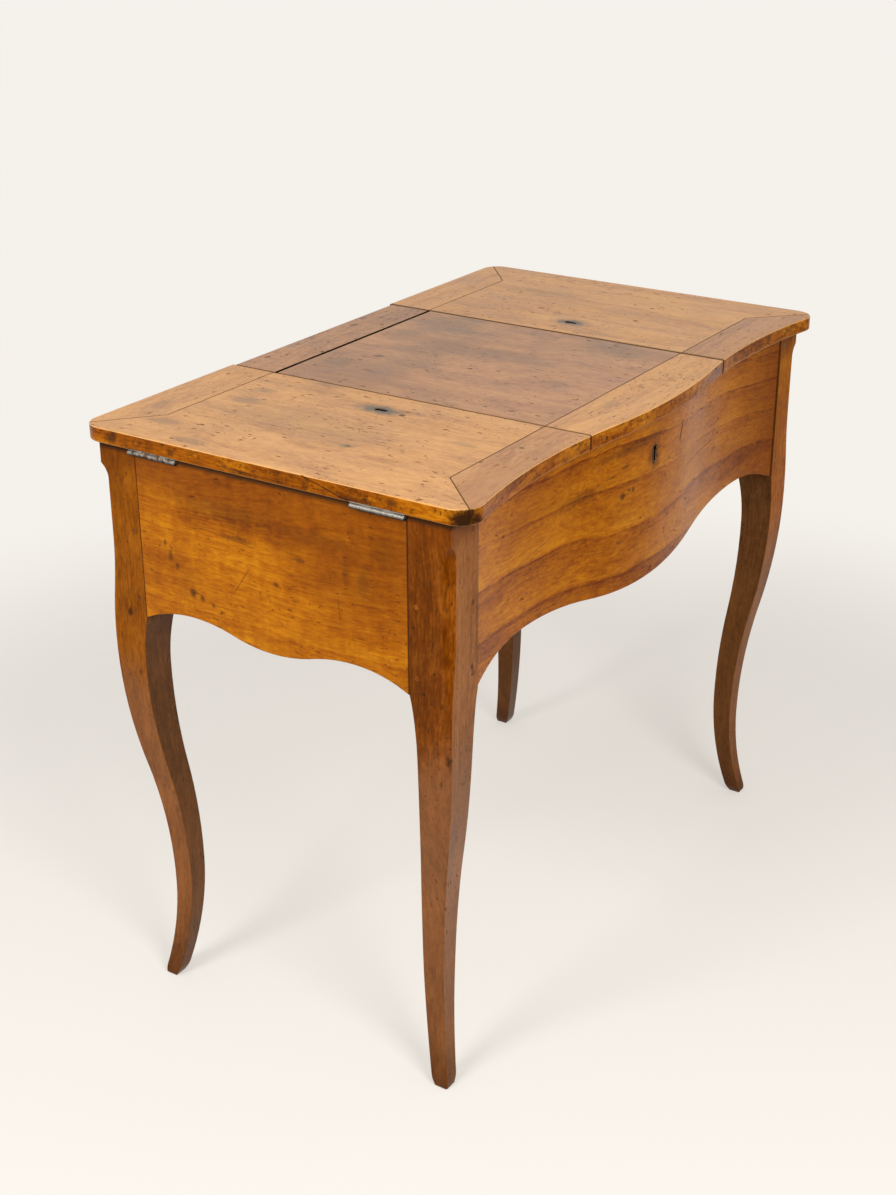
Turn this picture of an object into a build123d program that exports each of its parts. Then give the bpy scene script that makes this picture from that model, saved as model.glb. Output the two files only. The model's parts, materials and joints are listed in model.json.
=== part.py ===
"""Poudreuse dressing table: a serpentine-fronted case on four cabriole legs.

Frame: +Z up, +X to the right when facing the table, +Y towards its back, origin on the floor
under the middle of the top. All sizes are in millimetres.

Three lids close the case. The two outer flaps swing outwards on butt hinges on the sides.
The middle lid carries a mirror underneath and swings up on two small hinges at its back edge.
Each flap has a lock that bolts into a partition; the front has a lock that bolts into the lid.
"""
from build123d import *
import math
import os

os.makedirs("parts", exist_ok=True)

# ------------------------------------------------------------------ driving sizes
# Top: three lids and a fixed rail, all of one thickness.
height = 720.0
lid_thickness = 18.0
top_half_width = 428.0
flap_rear_y = 252.0
rail_rear_y = 248.0
hollow_y = -234.0
hollow_x = 245.0
front_bow = 18.0
corner_radius = 25.0
top_round = 2.0
under_round = 2.5
lid_joint_x = 165.5
lid_gap = 1.4
front_band_y = -181.0
rear_band_y = 189.5
mitre_x = 355.0
tongue_thickness = 6.0
tongue_depth = 8.0

# Case: overhangs of the lids and the thickness of each board.
side_overhang = 5.0
front_overhang = 19.0
front_thickness = 20.0
side_thickness = 20.0
back_thickness = 16.0
back_setback = 2.0
partition_thickness = 12.0
bottom_thickness = 11.0
bottom_rise = 26.5
batten_width = 12.0
batten_height = 10.0
shoulder_gap = 0.1
inner_gap = 0.3

# Shaped lower edges: each arch rises from the panel's end at the leg to its crown.
case_depth = 198.5
front_middle_drop = 4.5
front_arch_rise = 23.0
front_crown_x = 275.0
side_arch_rise = 16.0
side_crown_y = 107.0
back_panel_rise = 8.5
saw_spare = 25.0

# Legs: insets are measured inwards from the outer faces of the square block. Drops run down
# from the block's lower end or, for the chamfer, from the leg's top.
leg_front_y = -226.0
leg_rear_y = 230.0
leg_square = 51.0
block_rise = 1.5
knee_drop = 35.0
calf_drop = 75.0
calf_depth = 43.0
ankle_z = 130.0
ankle_inset = 33.0
foot_inset = 17.3
foot_size = 20.5
inner_ankle_z = 160.0
inner_ankle_depth = 59.3
foot_round = 1.5
chamfer_face = 10.0
worn_face = 1.5
chamfer_stop_drop = 24.0
chamfer_cove = 18.0
chamfer_fade_drop = 112.0
tenon_thickness = 8.0
tenon_length = 20.0
tenon_inset = 6.0
tenon_rise = 11.5
tenon_top_drop = 8.0
mortise_gap = 0.1
peg_radius = 3.0
peg_length = 24.0
peg_gap = 0.05
peg_margin = 10.0

# Side hinges: the barrel hangs just below the lid's edge, outside the case.
knuckle_radius = 3.0
barrel_gap = 0.3
side_hinge_length = 66.0
rear_hinge_y = 151.0
front_hinge_y = -142.0
side_leaf_width = 15.0
leaf_thickness = 1.4
side_knuckles = 5
knuckle_gap = 0.2
neck_half = 1.2
pin_radius = 1.5
pin_gap = 0.05

# Middle lid hinges: small barrels sunk in the gap behind the lid.
small_radius = 1.8
small_pin_radius = 0.9
small_axis_depth = 2.1
small_to_rail = 2.4
small_to_lid = 2.1
small_hinge_length = 50.0
small_hinge_x = 100.0
small_knuckles = 3
small_leaf_drop = 14.0
small_leaf_thickness = 1.2

# Screws.
screw_radius = 1.5
screw_length = 13.0
lock_screw_length = 20.0
screw_head_radius = 2.8
screw_gap = 0.05
hole_end = 1.0
side_screw_spacing = 44.0
small_screw_spacing = 32.0
small_screw_drop = 9.0

# Locks.
bolt_travel = 9.0
bolt_gap = 0.15
bolt_thickness = 6.5
bolt_length = 32.0
flap_bolt_width = 22.0
flap_lock_length = 56.0
flap_lock_width = 56.0
lock_thickness = 11.0
flap_lock_gap = 5.0
flap_key_x = 214.5
flap_key_y = 5.5
flap_key_radius = 2.8
flap_key_slot = 3.0
flap_key_reach = 12.0
front_bolt_width = 26.0
front_lock_width = 60.0
front_lock_height = 76.0
front_lock_recess = 3.0
front_key_drop = 46.0
front_key_radius = 3.2
front_key_slot = 3.6
front_key_reach = 15.0
lining_wall = 1.3
lining_depth = 6.0
lining_sunk = 0.4
strike_thickness = 1.4
strike_margin = 7.0
strike_slot_gap = 0.8
pocket_clearance = 1.5
lock_screw_inset = 6.0

# Mirror under the middle lid.
mirror_side_gap = 11.5
mirror_lock_gap = 29.0
mirror_rear_gap = 27.0
mirror_thickness = 3.0
bead_width = 12.0
bead_height = 8.0
bead_lap = 4.0

# ------------------------------------------------------------------ worked-out sizes
carcass_top = height - lid_thickness
apron_end_z = carcass_top - case_depth
bottom_z = apron_end_z + bottom_rise
block_bottom_z = apron_end_z + block_rise
knee_z = block_bottom_z - knee_drop
calf_z = block_bottom_z - calf_drop
chamfer_stop_z = carcass_top - chamfer_stop_drop
chamfer_fade_z = carcass_top - chamfer_fade_drop
tenon_low_z = apron_end_z + tenon_rise
tenon_high_z = carcass_top - tenon_top_drop
peg_low_z = tenon_low_z + peg_margin
peg_high_z = tenon_high_z - peg_margin
peg_heights = (peg_low_z, (peg_low_z + peg_high_z) / 2, peg_high_z)
front_key_z = carcass_top - front_key_drop
side_x = top_half_width - side_overhang
leg_inner_x = side_x - leg_square
front_joint_y = leg_front_y + leg_square
rear_joint_y = leg_rear_y - leg_square
leg_middle_y = (leg_front_y + leg_rear_y) / 2
side_middle_y = (front_joint_y + rear_joint_y) / 2
flap_inner_x = lid_joint_x + lid_gap / 2
lid_half_width = lid_joint_x - lid_gap / 2
small_axis_y = rear_band_y - small_to_rail
small_axis_z = height - small_axis_depth
lid_rear_y = small_axis_y - small_to_lid
back_outer_y = leg_rear_y - back_setback
back_inner_y = back_outer_y - back_thickness
bottom_top_z = bottom_z + bottom_thickness
partition_outer_x = lid_joint_x + partition_thickness / 2
partition_inner_x = lid_joint_x - partition_thickness / 2
hinge_axis_x = side_x + knuckle_radius + barrel_gap
hinge_axis_z = carcass_top - knuckle_radius - barrel_gap
screw_head_height = screw_head_radius - screw_radius
partition_pocket = bolt_travel - flap_lock_gap - bolt_gap + pocket_clearance
strike_pocket = bolt_travel - inner_gap - bolt_gap + pocket_clearance
tenon_middle_x = leg_inner_x + tenon_length / 2
front_tenon_y = front_joint_y - tenon_length / 2
rear_tenon_y = rear_joint_y + tenon_length / 2

# Serpentine front: a middle bow and two hollows, arcs of one radius at the lid's edge.
serpentine_radius = (hollow_x**2 + front_bow**2) / (4 * front_bow)
bow_centre_y = hollow_y - front_bow + serpentine_radius
hollow_centre_y = hollow_y - serpentine_radius
turn_sine = hollow_x / (2 * serpentine_radius)


def front_y(x, inset):
    """Depth of the serpentine at x, for a curve lying inset behind the lid's edge."""
    x = abs(x)
    bow = serpentine_radius - inset
    hollow = serpentine_radius + inset
    if x <= bow * turn_sine:
        return bow_centre_y - math.sqrt(bow**2 - x**2)
    return hollow_centre_y + math.sqrt(hollow**2 - (x - hollow_x) ** 2)


def serpentine(inset, x_from, x_to):
    """Draw the serpentine between two places along X as tangent arcs."""
    turn = (serpentine_radius - inset) * turn_sine
    stops = [x_from] + [x for x in (-turn, turn) if x_from < x < x_to] + [x_to]
    for a, b in zip(stops, stops[1:]):
        points = [(x, front_y(x, inset)) for x in (a, (a + b) / 2, b)]
        ThreePointArc(*points)


def s_curve(start, end, direction):
    """Two equal arcs that leave start and reach end along the same direction."""
    middle = ((start[0] + end[0]) / 2, (start[1] + end[1]) / 2)
    TangentArc(start, middle, tangent=direction)
    TangentArc(end, middle, tangent=(-direction[0], -direction[1]))


def apron_edge(centre, half, crown, middle_drop, arch_rise):
    """What is sawn away below a panel: a middle drop between two arches that fall to the legs."""
    for side in (-1, 1):
        top = (centre + side * crown, apron_end_z + arch_rise)
        s_curve((centre, apron_end_z - middle_drop), top, (side, 0))
        TangentArc(top, (centre + side * half, apron_end_z), tangent=(side, 0))
    left, right = centre - half, centre + half
    below = apron_end_z - middle_drop - 2 * saw_spare
    Polyline((left, apron_end_z), (left, below), (right, below), (right, apron_end_z))


def xz_plane(y):
    """Upright plane across the table at depth y; an extrusion from it runs to the front."""
    return Plane.XZ.offset(-y)


def facing(origin, direction):
    """Location whose own +Z runs along direction."""
    return Plane(origin=origin, z_dir=direction).location


def keep(piece, name):
    piece.part.label = name
    export_step(piece.part, f"parts/{name}.step")


def block(x, y, z, mode=Mode.ADD):
    """A box between two limits along each axis."""
    with Locations(((x[0] + x[1]) / 2, (y[0] + y[1]) / 2, (z[0] + z[1]) / 2)):
        Box(abs(x[1] - x[0]), abs(y[1] - y[0]), abs(z[1] - z[0]), mode=mode)


def keyhole(centre, radius, slot, reach, mode=Mode.ADD):
    """Round head at centre with a straight slot running reach below it."""
    with Locations(centre):
        Circle(radius, mode=mode)
    with Locations((centre[0], centre[1] - reach / 2)):
        Rectangle(slot, reach, mode=mode)


def screw_holes(places, length=screw_length):
    """Countersunk holes for the screws whose heads lie at these locations."""
    with Locations(*places):
        CounterSinkHole(screw_radius + screw_gap, screw_head_radius + screw_gap, depth=length + hole_end)


def pilot_holes(places, length):
    """Plain holes for the shanks of the screws whose heads lie at these locations."""
    with Locations(*places):
        Hole(screw_radius + screw_gap, depth=length + hole_end)


def screws(places, length=screw_length):
    """Countersunk screws whose heads lie flush at these locations."""
    with Locations(*places):
        Cylinder(screw_radius, length, align=(Align.CENTER, Align.CENTER, Align.MAX))
        Cone(
            screw_radius,
            screw_head_radius,
            screw_head_height,
            align=(Align.CENTER, Align.CENTER, Align.MAX),
        )


# ------------------------------------------------------------------ hinge places
side_hinge_ys = (front_hinge_y, rear_hinge_y)
leaf_screw_x = side_x - side_leaf_width / 2
side_screw_ys = [y + s * side_screw_spacing / 2 for y in side_hinge_ys for s in (-1, 1)]
small_hinge_xs = (-small_hinge_x, small_hinge_x)
small_screw_xs = [x + s * small_screw_spacing / 2 for x in small_hinge_xs for s in (-1, 1)]
small_screw_z = small_axis_z - small_screw_drop

left_fixed_screws = [facing((-leaf_screw_x, y, carcass_top), (0, 0, 1)) for y in side_screw_ys]
right_fixed_screws = [facing((leaf_screw_x, y, carcass_top), (0, 0, 1)) for y in side_screw_ys]
left_moving_screws = [facing((-leaf_screw_x, y, carcass_top), (0, 0, -1)) for y in side_screw_ys]
rail_screws = [facing((x, rear_band_y, small_screw_z), (0, -1, 0)) for x in small_screw_xs]
lid_edge_screws = [facing((x, lid_rear_y, small_screw_z), (0, 1, 0)) for x in small_screw_xs]


def knuckle_spans(middle, length, count, first):
    """Every second knuckle along a barrel, starting with number first."""
    pitch = length / count
    spans = []
    for i in range(first, count, 2):
        start = middle - length / 2 + i * pitch
        spans.append((start + knuckle_gap / 2, start + pitch - knuckle_gap / 2))
    return spans


def side_leaf_seats(z_low, z_high):
    """Shallow seats for the leaves of the left-hand hinges."""
    for y in side_hinge_ys:
        half = side_hinge_length / 2
        seat_x = (-side_x - side_overhang, side_leaf_width - side_x)
        block(seat_x, (y - half, y + half), (z_low, z_high), Mode.SUBTRACT)


# ------------------------------------------------------------------ pegs
def peg_row(x, y, direction):
    """Three pegs above one another, entering a leg's outer face that looks along direction."""
    return [facing((x, y, z), direction) for z in peg_heights]


def peg_holes(places):
    """Drill for the pegs whose outer ends lie at these locations."""
    with Locations(*places):
        Hole(peg_radius + peg_gap, depth=peg_length + hole_end)


front_left_pegs = peg_row(-tenon_middle_x, leg_front_y, (0, -1, 0))
front_left_pegs += peg_row(-side_x, front_tenon_y, (-1, 0, 0))
with BuildPart() as joint_pegs:
    with Locations(*front_left_pegs):
        Cylinder(peg_radius, peg_length, align=(Align.CENTER, Align.CENTER, Align.MAX))
    mirror(about=xz_plane(leg_middle_y))
    mirror(about=Plane.YZ)
keep(joint_pegs, "joint_pegs")

# ------------------------------------------------------------------ legs
def leg_outline(face, sign, top):
    """Cabriole profile of the leg; face is its outer plane and sign points inwards."""

    def at(depth, z):
        return (face + sign * depth, z)

    Polyline(at(leg_square, block_bottom_z), at(leg_square, top), at(0, top), at(0, knee_z))
    s_curve(at(0, knee_z), at(ankle_inset, ankle_z), (0, -1))
    TangentArc(at(ankle_inset, ankle_z), at(foot_inset, 0), tangent=(0, -1))
    Line(at(foot_inset, 0), at(foot_inset + foot_size, 0))
    TangentArc(at(inner_ankle_depth, inner_ankle_z), at(foot_inset + foot_size, 0), tangent=(0, -1))
    s_curve(at(inner_ankle_depth, inner_ankle_z), at(calf_depth, calf_z), (0, 1))
    TangentArc(at(calf_depth, calf_z), at(leg_square, block_bottom_z), tangent=(0, 1))


def chamfer_outline(top):
    """Outer corner seen square to the leg's diagonal: cove stop, chamfer, then a worn arris."""
    diagonal = math.sqrt(2)
    full = chamfer_face / diagonal
    worn = worn_face / diagonal
    inside = 2 * inner_ankle_depth
    TangentArc((full, chamfer_stop_z - chamfer_cove), (0, chamfer_stop_z), tangent=(0, 1))
    Line((full, chamfer_stop_z - chamfer_cove), (full, chamfer_fade_z))
    s_curve((full, chamfer_fade_z), (worn, knee_z), (0, -1))
    s_curve((worn, knee_z), (worn + ankle_inset * diagonal, ankle_z), (0, -1))
    TangentArc(
        (worn + ankle_inset * diagonal, ankle_z), (worn + foot_inset * diagonal, 0), tangent=(0, -1)
    )
    Polyline((worn + foot_inset * diagonal, 0), (inside, 0), (inside, top), (0, top), (0, chamfer_stop_z))


leg_reach = inner_ankle_depth
leg_middle_x = -side_x + leg_reach / 2
leg_middle_front_y = leg_front_y + leg_reach / 2
with BuildPart() as front_left_leg:
    with BuildSketch(xz_plane(leg_middle_front_y)):
        with BuildLine():
            leg_outline(-side_x, 1, carcass_top)
        make_face()
    extrude(amount=leg_reach, both=True)
    with BuildSketch(Plane.YZ.offset(leg_middle_x)):
        with BuildLine():
            leg_outline(leg_front_y, 1, carcass_top)
        make_face()
    extrude(amount=leg_reach, both=True, mode=Mode.INTERSECT)
    corner_plane = Plane(origin=(-side_x, leg_front_y, 0), x_dir=(1, 1, 0), z_dir=(1, -1, 0))
    with BuildSketch(corner_plane):
        with BuildLine():
            chamfer_outline(carcass_top)
        make_face()
    extrude(amount=2 * leg_reach, both=True, mode=Mode.INTERSECT)
    fillet(front_left_leg.edges().group_by(Axis.Z)[0], foot_round)
    mortise_z = (tenon_low_z - mortise_gap, tenon_high_z + mortise_gap)
    near, far = tenon_inset - mortise_gap, tenon_inset + tenon_thickness + mortise_gap
    deep = leg_square - tenon_length - mortise_gap
    across, into = (near, far), (leg_square, deep)
    for x, y in ((into, across), (across, into)):
        mortise_x = [d - side_x for d in x]
        mortise_y = [d + leg_front_y for d in y]
        block(mortise_x, mortise_y, mortise_z, Mode.SUBTRACT)
    peg_holes(front_left_pegs)
keep(front_left_leg, "front_left_leg")

with BuildPart() as front_right_leg:
    mirror(front_left_leg.part, about=Plane.YZ)
keep(front_right_leg, "front_right_leg")

with BuildPart() as rear_left_leg:
    mirror(front_left_leg.part, about=xz_plane(leg_middle_y))
    side_leaf_seats(carcass_top - leaf_thickness, height)
keep(rear_left_leg, "rear_left_leg")

with BuildPart() as rear_right_leg:
    mirror(rear_left_leg.part, about=Plane.YZ)
keep(rear_right_leg, "rear_right_leg")

# ------------------------------------------------------------------ case panels
panel_end_x = leg_inner_x - shoulder_gap
front_inner = front_overhang + front_thickness
lock_plane_y = front_y(0, front_inner) - front_lock_recess
front_lock_top = carcass_top - inner_gap
front_lock_z = (front_lock_top - front_lock_height, front_lock_top)
front_lock_y = (lock_plane_y, lock_plane_y + lock_thickness)
front_key_place = (0, front_key_z)
front_lock_screw_places = [
    facing((x, front_lock_y[1], z), (0, 1, 0))
    for x in (lock_screw_inset - front_lock_width / 2, front_lock_width / 2 - lock_screw_inset)
    for z in (front_lock_z[0] + lock_screw_inset, front_lock_z[1] - 2 * lock_screw_inset)
]

with BuildPart() as front_panel:
    blank_z = apron_end_z - front_middle_drop - saw_spare
    with BuildSketch(Plane.XY.offset(blank_z)):
        with BuildLine():
            serpentine(front_overhang, -panel_end_x, panel_end_x)
            serpentine(front_inner, -panel_end_x, panel_end_x)
            for x in (-panel_end_x, panel_end_x):
                Line((x, front_y(x, front_overhang)), (x, front_y(x, front_inner)))
        make_face()
    extrude(amount=carcass_top - blank_z)
    with BuildSketch(Plane.XZ):
        with BuildLine():
            apron_edge(0, leg_inner_x, front_crown_x, front_middle_drop, front_arch_rise)
        make_face()
    extrude(amount=-2 * leg_front_y, mode=Mode.SUBTRACT)
    for side in (-1, 1):
        tenon_x = (side * panel_end_x, side * (leg_inner_x + tenon_length))
        tenon_y = (leg_front_y + tenon_inset, leg_front_y + tenon_inset + tenon_thickness)
        block(tenon_x, tenon_y, (tenon_low_z, tenon_high_z))
        peg_holes(peg_row(side * tenon_middle_x, leg_front_y, (0, -1, 0)))
    pilot_holes(front_lock_screw_places, lock_screw_length)
    lock_x = front_lock_width / 2 + inner_gap
    block((-lock_x, lock_x), (lock_plane_y, 0), (front_lock_z[0] - inner_gap, height), Mode.SUBTRACT)
    with BuildSketch(xz_plane(lock_plane_y)):
        keyhole(front_key_place, front_key_radius, front_key_slot, front_key_reach)
    extrude(amount=front_thickness, mode=Mode.SUBTRACT)
    with BuildSketch(xz_plane(front_y(0, front_overhang) + lining_sunk + lining_depth)):
        keyhole(front_key_place, front_key_radius, front_key_slot, front_key_reach)
        offset(amount=lining_wall)
    extrude(amount=front_thickness, mode=Mode.SUBTRACT)
keep(front_panel, "front_panel")

with BuildPart() as left_side_panel:
    panel_y = (front_joint_y + shoulder_gap, rear_joint_y - shoulder_gap)
    block((-side_x, side_thickness - side_x), panel_y, (apron_end_z - saw_spare, carcass_top))
    with BuildSketch(Plane.YZ.offset(-side_x - side_overhang)):
        with BuildLine():
            half_side = rear_joint_y - side_middle_y
            apron_edge(side_middle_y, half_side, side_crown_y, 0, side_arch_rise)
        make_face()
    extrude(amount=2 * side_thickness, mode=Mode.SUBTRACT)
    tenon_x = (tenon_inset - side_x, tenon_inset + tenon_thickness - side_x)
    for tenon_y in ((front_joint_y - tenon_length, panel_y[0]), (panel_y[1], rear_joint_y + tenon_length)):
        block(tenon_x, tenon_y, (tenon_low_z, tenon_high_z))
    for y in (front_tenon_y, rear_tenon_y):
        peg_holes(peg_row(-side_x, y, (-1, 0, 0)))
    side_leaf_seats(carcass_top - leaf_thickness, height)
    screw_holes(left_fixed_screws)
keep(left_side_panel, "left_side_panel")

with BuildPart() as right_side_panel:
    mirror(left_side_panel.part, about=Plane.YZ)
keep(right_side_panel, "right_side_panel")

with BuildPart() as back_panel:
    back_z = (apron_end_z + back_panel_rise, carcass_top)
    block((-panel_end_x, panel_end_x), (back_inner_y, back_outer_y), back_z)
    for side in (-1, 1):
        tenon_x = (side * panel_end_x, side * (leg_inner_x + tenon_length))
        tenon_y = (leg_rear_y - tenon_inset - tenon_thickness, leg_rear_y - tenon_inset)
        block(tenon_x, tenon_y, (tenon_low_z, tenon_high_z))
        peg_holes(peg_row(side * tenon_middle_x, leg_rear_y, (0, 1, 0)))
keep(back_panel, "back_panel")

# ------------------------------------------------------------------ inside of the case
side_inner_x = side_x - side_thickness
notch_x = leg_inner_x - inner_gap
edge_x = side_inner_x - inner_gap
front_notch_y = front_joint_y + inner_gap
rear_notch_y = rear_joint_y - inner_gap
board_rear_y = back_inner_y - inner_gap
board_inset = front_inner + inner_gap

with BuildPart() as bottom_board:
    with BuildSketch(Plane.XY.offset(bottom_z)):
        with BuildLine():
            serpentine(board_inset, -notch_x, notch_x)
            for side in (-1, 1):
                Polyline(
                    (side * notch_x, front_y(notch_x, board_inset)),
                    (side * notch_x, front_notch_y),
                    (side * edge_x, front_notch_y),
                    (side * edge_x, rear_notch_y),
                    (side * notch_x, rear_notch_y),
                    (side * notch_x, board_rear_y),
                    (0, board_rear_y),
                )
        make_face()
    extrude(amount=bottom_thickness)
keep(bottom_board, "bottom_board")

batten_z = (bottom_z - batten_height, bottom_z)
with BuildPart() as left_batten:
    block((-side_inner_x, batten_width - side_inner_x), (front_notch_y, rear_notch_y), batten_z)
keep(left_batten, "left_batten")

with BuildPart() as right_batten:
    mirror(left_batten.part, about=Plane.YZ)
keep(right_batten, "right_batten")

with BuildPart() as back_batten:
    block((-notch_x, notch_x), (back_inner_y - batten_width, back_inner_y), batten_z)
keep(back_batten, "back_batten")

flap_bolt_y = (-flap_bolt_width / 2, flap_bolt_width / 2)
flap_lock_z = (carcass_top - lock_thickness, carcass_top)
flap_lock_middle_z = carcass_top - lock_thickness / 2
flap_bolt_z = (flap_lock_middle_z - bolt_thickness / 2, flap_lock_middle_z + bolt_thickness / 2)
strike_y = flap_bolt_width / 2 + strike_margin
strike_z = (flap_bolt_z[0] - strike_margin, carcass_top - strike_thickness)
slot_y = flap_bolt_width / 2 + strike_slot_gap
slot_z = (flap_bolt_z[0] - strike_slot_gap, flap_bolt_z[1] + strike_slot_gap)
strike_x = (-partition_outer_x, strike_thickness - partition_outer_x)
pocket_x = (-partition_outer_x, partition_pocket - partition_outer_x)

with BuildPart() as left_partition:
    with BuildSketch(Plane.XY.offset(bottom_top_z)):
        with BuildLine():
            serpentine(board_inset, -partition_outer_x, -partition_inner_x)
            Polyline(
                (-partition_inner_x, front_y(partition_inner_x, board_inset)),
                (-partition_inner_x, board_rear_y),
                (-partition_outer_x, board_rear_y),
                (-partition_outer_x, front_y(partition_outer_x, board_inset)),
            )
        make_face()
    extrude(amount=carcass_top - bottom_top_z)
    block(strike_x, (-strike_y, strike_y), strike_z, Mode.SUBTRACT)
    block(pocket_x, (-slot_y, slot_y), slot_z, Mode.SUBTRACT)
keep(left_partition, "left_partition")

with BuildPart() as right_partition:
    mirror(left_partition.part, about=Plane.YZ)
keep(right_partition, "right_partition")

with BuildPart() as partition_strikes:
    block(strike_x, (-strike_y, strike_y), strike_z)
    block(pocket_x, (-slot_y, slot_y), slot_z, Mode.SUBTRACT)
    mirror(about=Plane.YZ)
keep(partition_strikes, "partition_strikes")

# ------------------------------------------------------------------ rear rail
small_leaf_z = (small_axis_z - small_leaf_drop, small_axis_z)


def small_leaf_seats(face_y, into):
    """Seats for the middle lid's hinge leaves in an upright edge at face_y."""
    for x in small_hinge_xs:
        half = small_hinge_length / 2
        seat_y = (face_y, face_y + into * small_leaf_thickness)
        block((x - half, x + half), seat_y, small_leaf_z, Mode.SUBTRACT)


with BuildPart() as rear_rail:
    block((-lid_half_width, lid_half_width), (rear_band_y, rail_rear_y), (carcass_top, height))
    rear_edges = rear_rail.edges().filter_by(Axis.X).group_by(Axis.Y)[-1].sort_by(Axis.Z)
    fillet(rear_edges[-1], top_round)
    fillet(rear_rail.edges().filter_by(Axis.X).group_by(Axis.Z)[0].sort_by(Axis.Y)[-1], under_round)
    small_leaf_seats(rear_band_y, 1)
    screw_holes(rail_screws)
keep(rear_rail, "rear_rail")

# ------------------------------------------------------------------ flaps
front_corner = (-top_half_width, front_y(top_half_width, 0))
rear_corner = (-top_half_width, flap_rear_y)
front_mitre = (-mitre_x, front_band_y)
rear_mitre = (-mitre_x, rear_band_y)
past_corner = 1.25
beyond_x = -partition_inner_x


def mitre_end(inner, corner):
    """A point on the mitre line, past the corner of the lid."""
    return tuple(a + past_corner * (b - a) for a, b in zip(inner, corner))


front_end = mitre_end(front_mitre, front_corner)
rear_end = mitre_end(rear_mitre, rear_corner)
tongue_x = (tongue_depth - mitre_x, -flap_inner_x - tongue_depth)
lid_middle_z = carcass_top + lid_thickness / 2
tongue_z = (lid_middle_z - tongue_thickness / 2, lid_middle_z + tongue_thickness / 2)
groove_x = (tongue_x[0] - mortise_gap, tongue_x[1] + mortise_gap)
groove_z = (tongue_z[0] - mortise_gap, tongue_z[1] + mortise_gap)
groove_depth = tongue_depth + mortise_gap
flap_lock_x = (-partition_outer_x - flap_lock_gap - flap_lock_length, -partition_outer_x - flap_lock_gap)
flap_lock_y = (-flap_lock_width / 2, flap_lock_width / 2)
flap_key_place = (-flap_key_x, flap_key_y)
flap_lock_screws = [
    facing((x, y, flap_lock_z[0]), (0, 0, -1))
    for x in (flap_lock_x[0] + lock_screw_inset, flap_lock_x[1] - lock_screw_inset)
    for y in (flap_lock_y[0] + lock_screw_inset, flap_lock_y[1] - lock_screw_inset)
]


def flap_blank():
    """The whole left flap before it is parted into its boards."""
    with BuildPart() as blank:
        with BuildSketch(Plane.XY.offset(carcass_top)) as outline:
            with BuildLine():
                serpentine(0, -top_half_width, -flap_inner_x)
                Polyline(
                    (-flap_inner_x, front_y(flap_inner_x, 0)),
                    (-flap_inner_x, flap_rear_y),
                    rear_corner,
                    front_corner,
                )
            make_face()
            fillet(outline.vertices().sort_by(Axis.X)[:2], corner_radius)
        extrude(amount=lid_thickness)
        for level, radius in ((-1, top_round), (0, under_round)):
            rim = blank.edges().group_by(Axis.Z)[level]
            fillet(rim.filter_by(lambda edge: edge.center().X < -flap_inner_x - 1), radius)
    return blank.part


left_flap_solid = flap_blank()


def part_region(points):
    """Keep only what lies over this outline."""
    with BuildSketch(Plane.XY.offset(carcass_top)) as region:
        with BuildLine():
            Polyline(*points, close=True)
        make_face()
    extrude(region.sketch, amount=lid_thickness, mode=Mode.INTERSECT)


with BuildPart() as left_flap_board:
    add(left_flap_solid)
    outer_points = [front_mitre, front_end, rear_end, rear_mitre]
    part_region([(beyond_x, front_band_y), *outer_points, (beyond_x, rear_band_y)])
    block(tongue_x, (front_band_y - tongue_depth, front_band_y), tongue_z)
    block(tongue_x, (rear_band_y, rear_band_y + tongue_depth), tongue_z)
    side_leaf_seats(carcass_top - leaf_thickness, carcass_top + leaf_thickness)
    with BuildSketch(Plane.XY.offset(carcass_top)):
        keyhole(flap_key_place, flap_key_radius, flap_key_slot, flap_key_reach)
    extrude(amount=lid_thickness, mode=Mode.SUBTRACT)
    screw_holes(left_moving_screws)
    pilot_holes(flap_lock_screws, lock_screw_length)
keep(left_flap_board, "left_flap_board")

with BuildPart() as left_flap_front_band:
    add(left_flap_solid)
    front_limit = front_end[1] - lid_thickness
    outer_points = [front_mitre, front_end, (front_end[0], front_limit)]
    part_region([(beyond_x, front_band_y), *outer_points, (beyond_x, front_limit)])
    block(groove_x, (front_band_y - groove_depth, front_band_y), groove_z, Mode.SUBTRACT)
keep(left_flap_front_band, "left_flap_front_band")

with BuildPart() as left_flap_rear_band:
    add(left_flap_solid)
    rear_limit = rear_end[1] + lid_thickness
    outer_points = [rear_mitre, rear_end, (rear_end[0], rear_limit)]
    part_region([(beyond_x, rear_band_y), *outer_points, (beyond_x, rear_limit)])
    block(groove_x, (rear_band_y, rear_band_y + groove_depth), groove_z, Mode.SUBTRACT)
keep(left_flap_rear_band, "left_flap_rear_band")

with BuildPart() as left_flap_lock_case:
    block(flap_lock_x, flap_lock_y, flap_lock_z)
    block(
        (flap_lock_x[1] - bolt_length - inner_gap, flap_lock_x[1]),
        (flap_bolt_y[0] - bolt_gap, flap_bolt_y[1] + bolt_gap),
        (flap_bolt_z[0] - bolt_gap, flap_bolt_z[1] + bolt_gap),
        Mode.SUBTRACT,
    )
    with BuildSketch(Plane.XY.offset(carcass_top)):
        keyhole(flap_key_place, flap_key_radius, flap_key_slot, flap_key_reach)
    extrude(amount=bolt_thickness - lock_thickness, mode=Mode.SUBTRACT)
    screw_holes(flap_lock_screws, lock_screw_length)
keep(left_flap_lock_case, "left_flap_lock_case")

with BuildPart() as left_flap_lock_screws:
    screws(flap_lock_screws, lock_screw_length)
keep(left_flap_lock_screws, "left_flap_lock_screws")

with BuildPart() as left_flap_lock_bolt:
    block((flap_lock_x[1] - bolt_length, flap_lock_x[1] - bolt_gap), flap_bolt_y, flap_bolt_z)
keep(left_flap_lock_bolt, "left_flap_lock_bolt")


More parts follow.
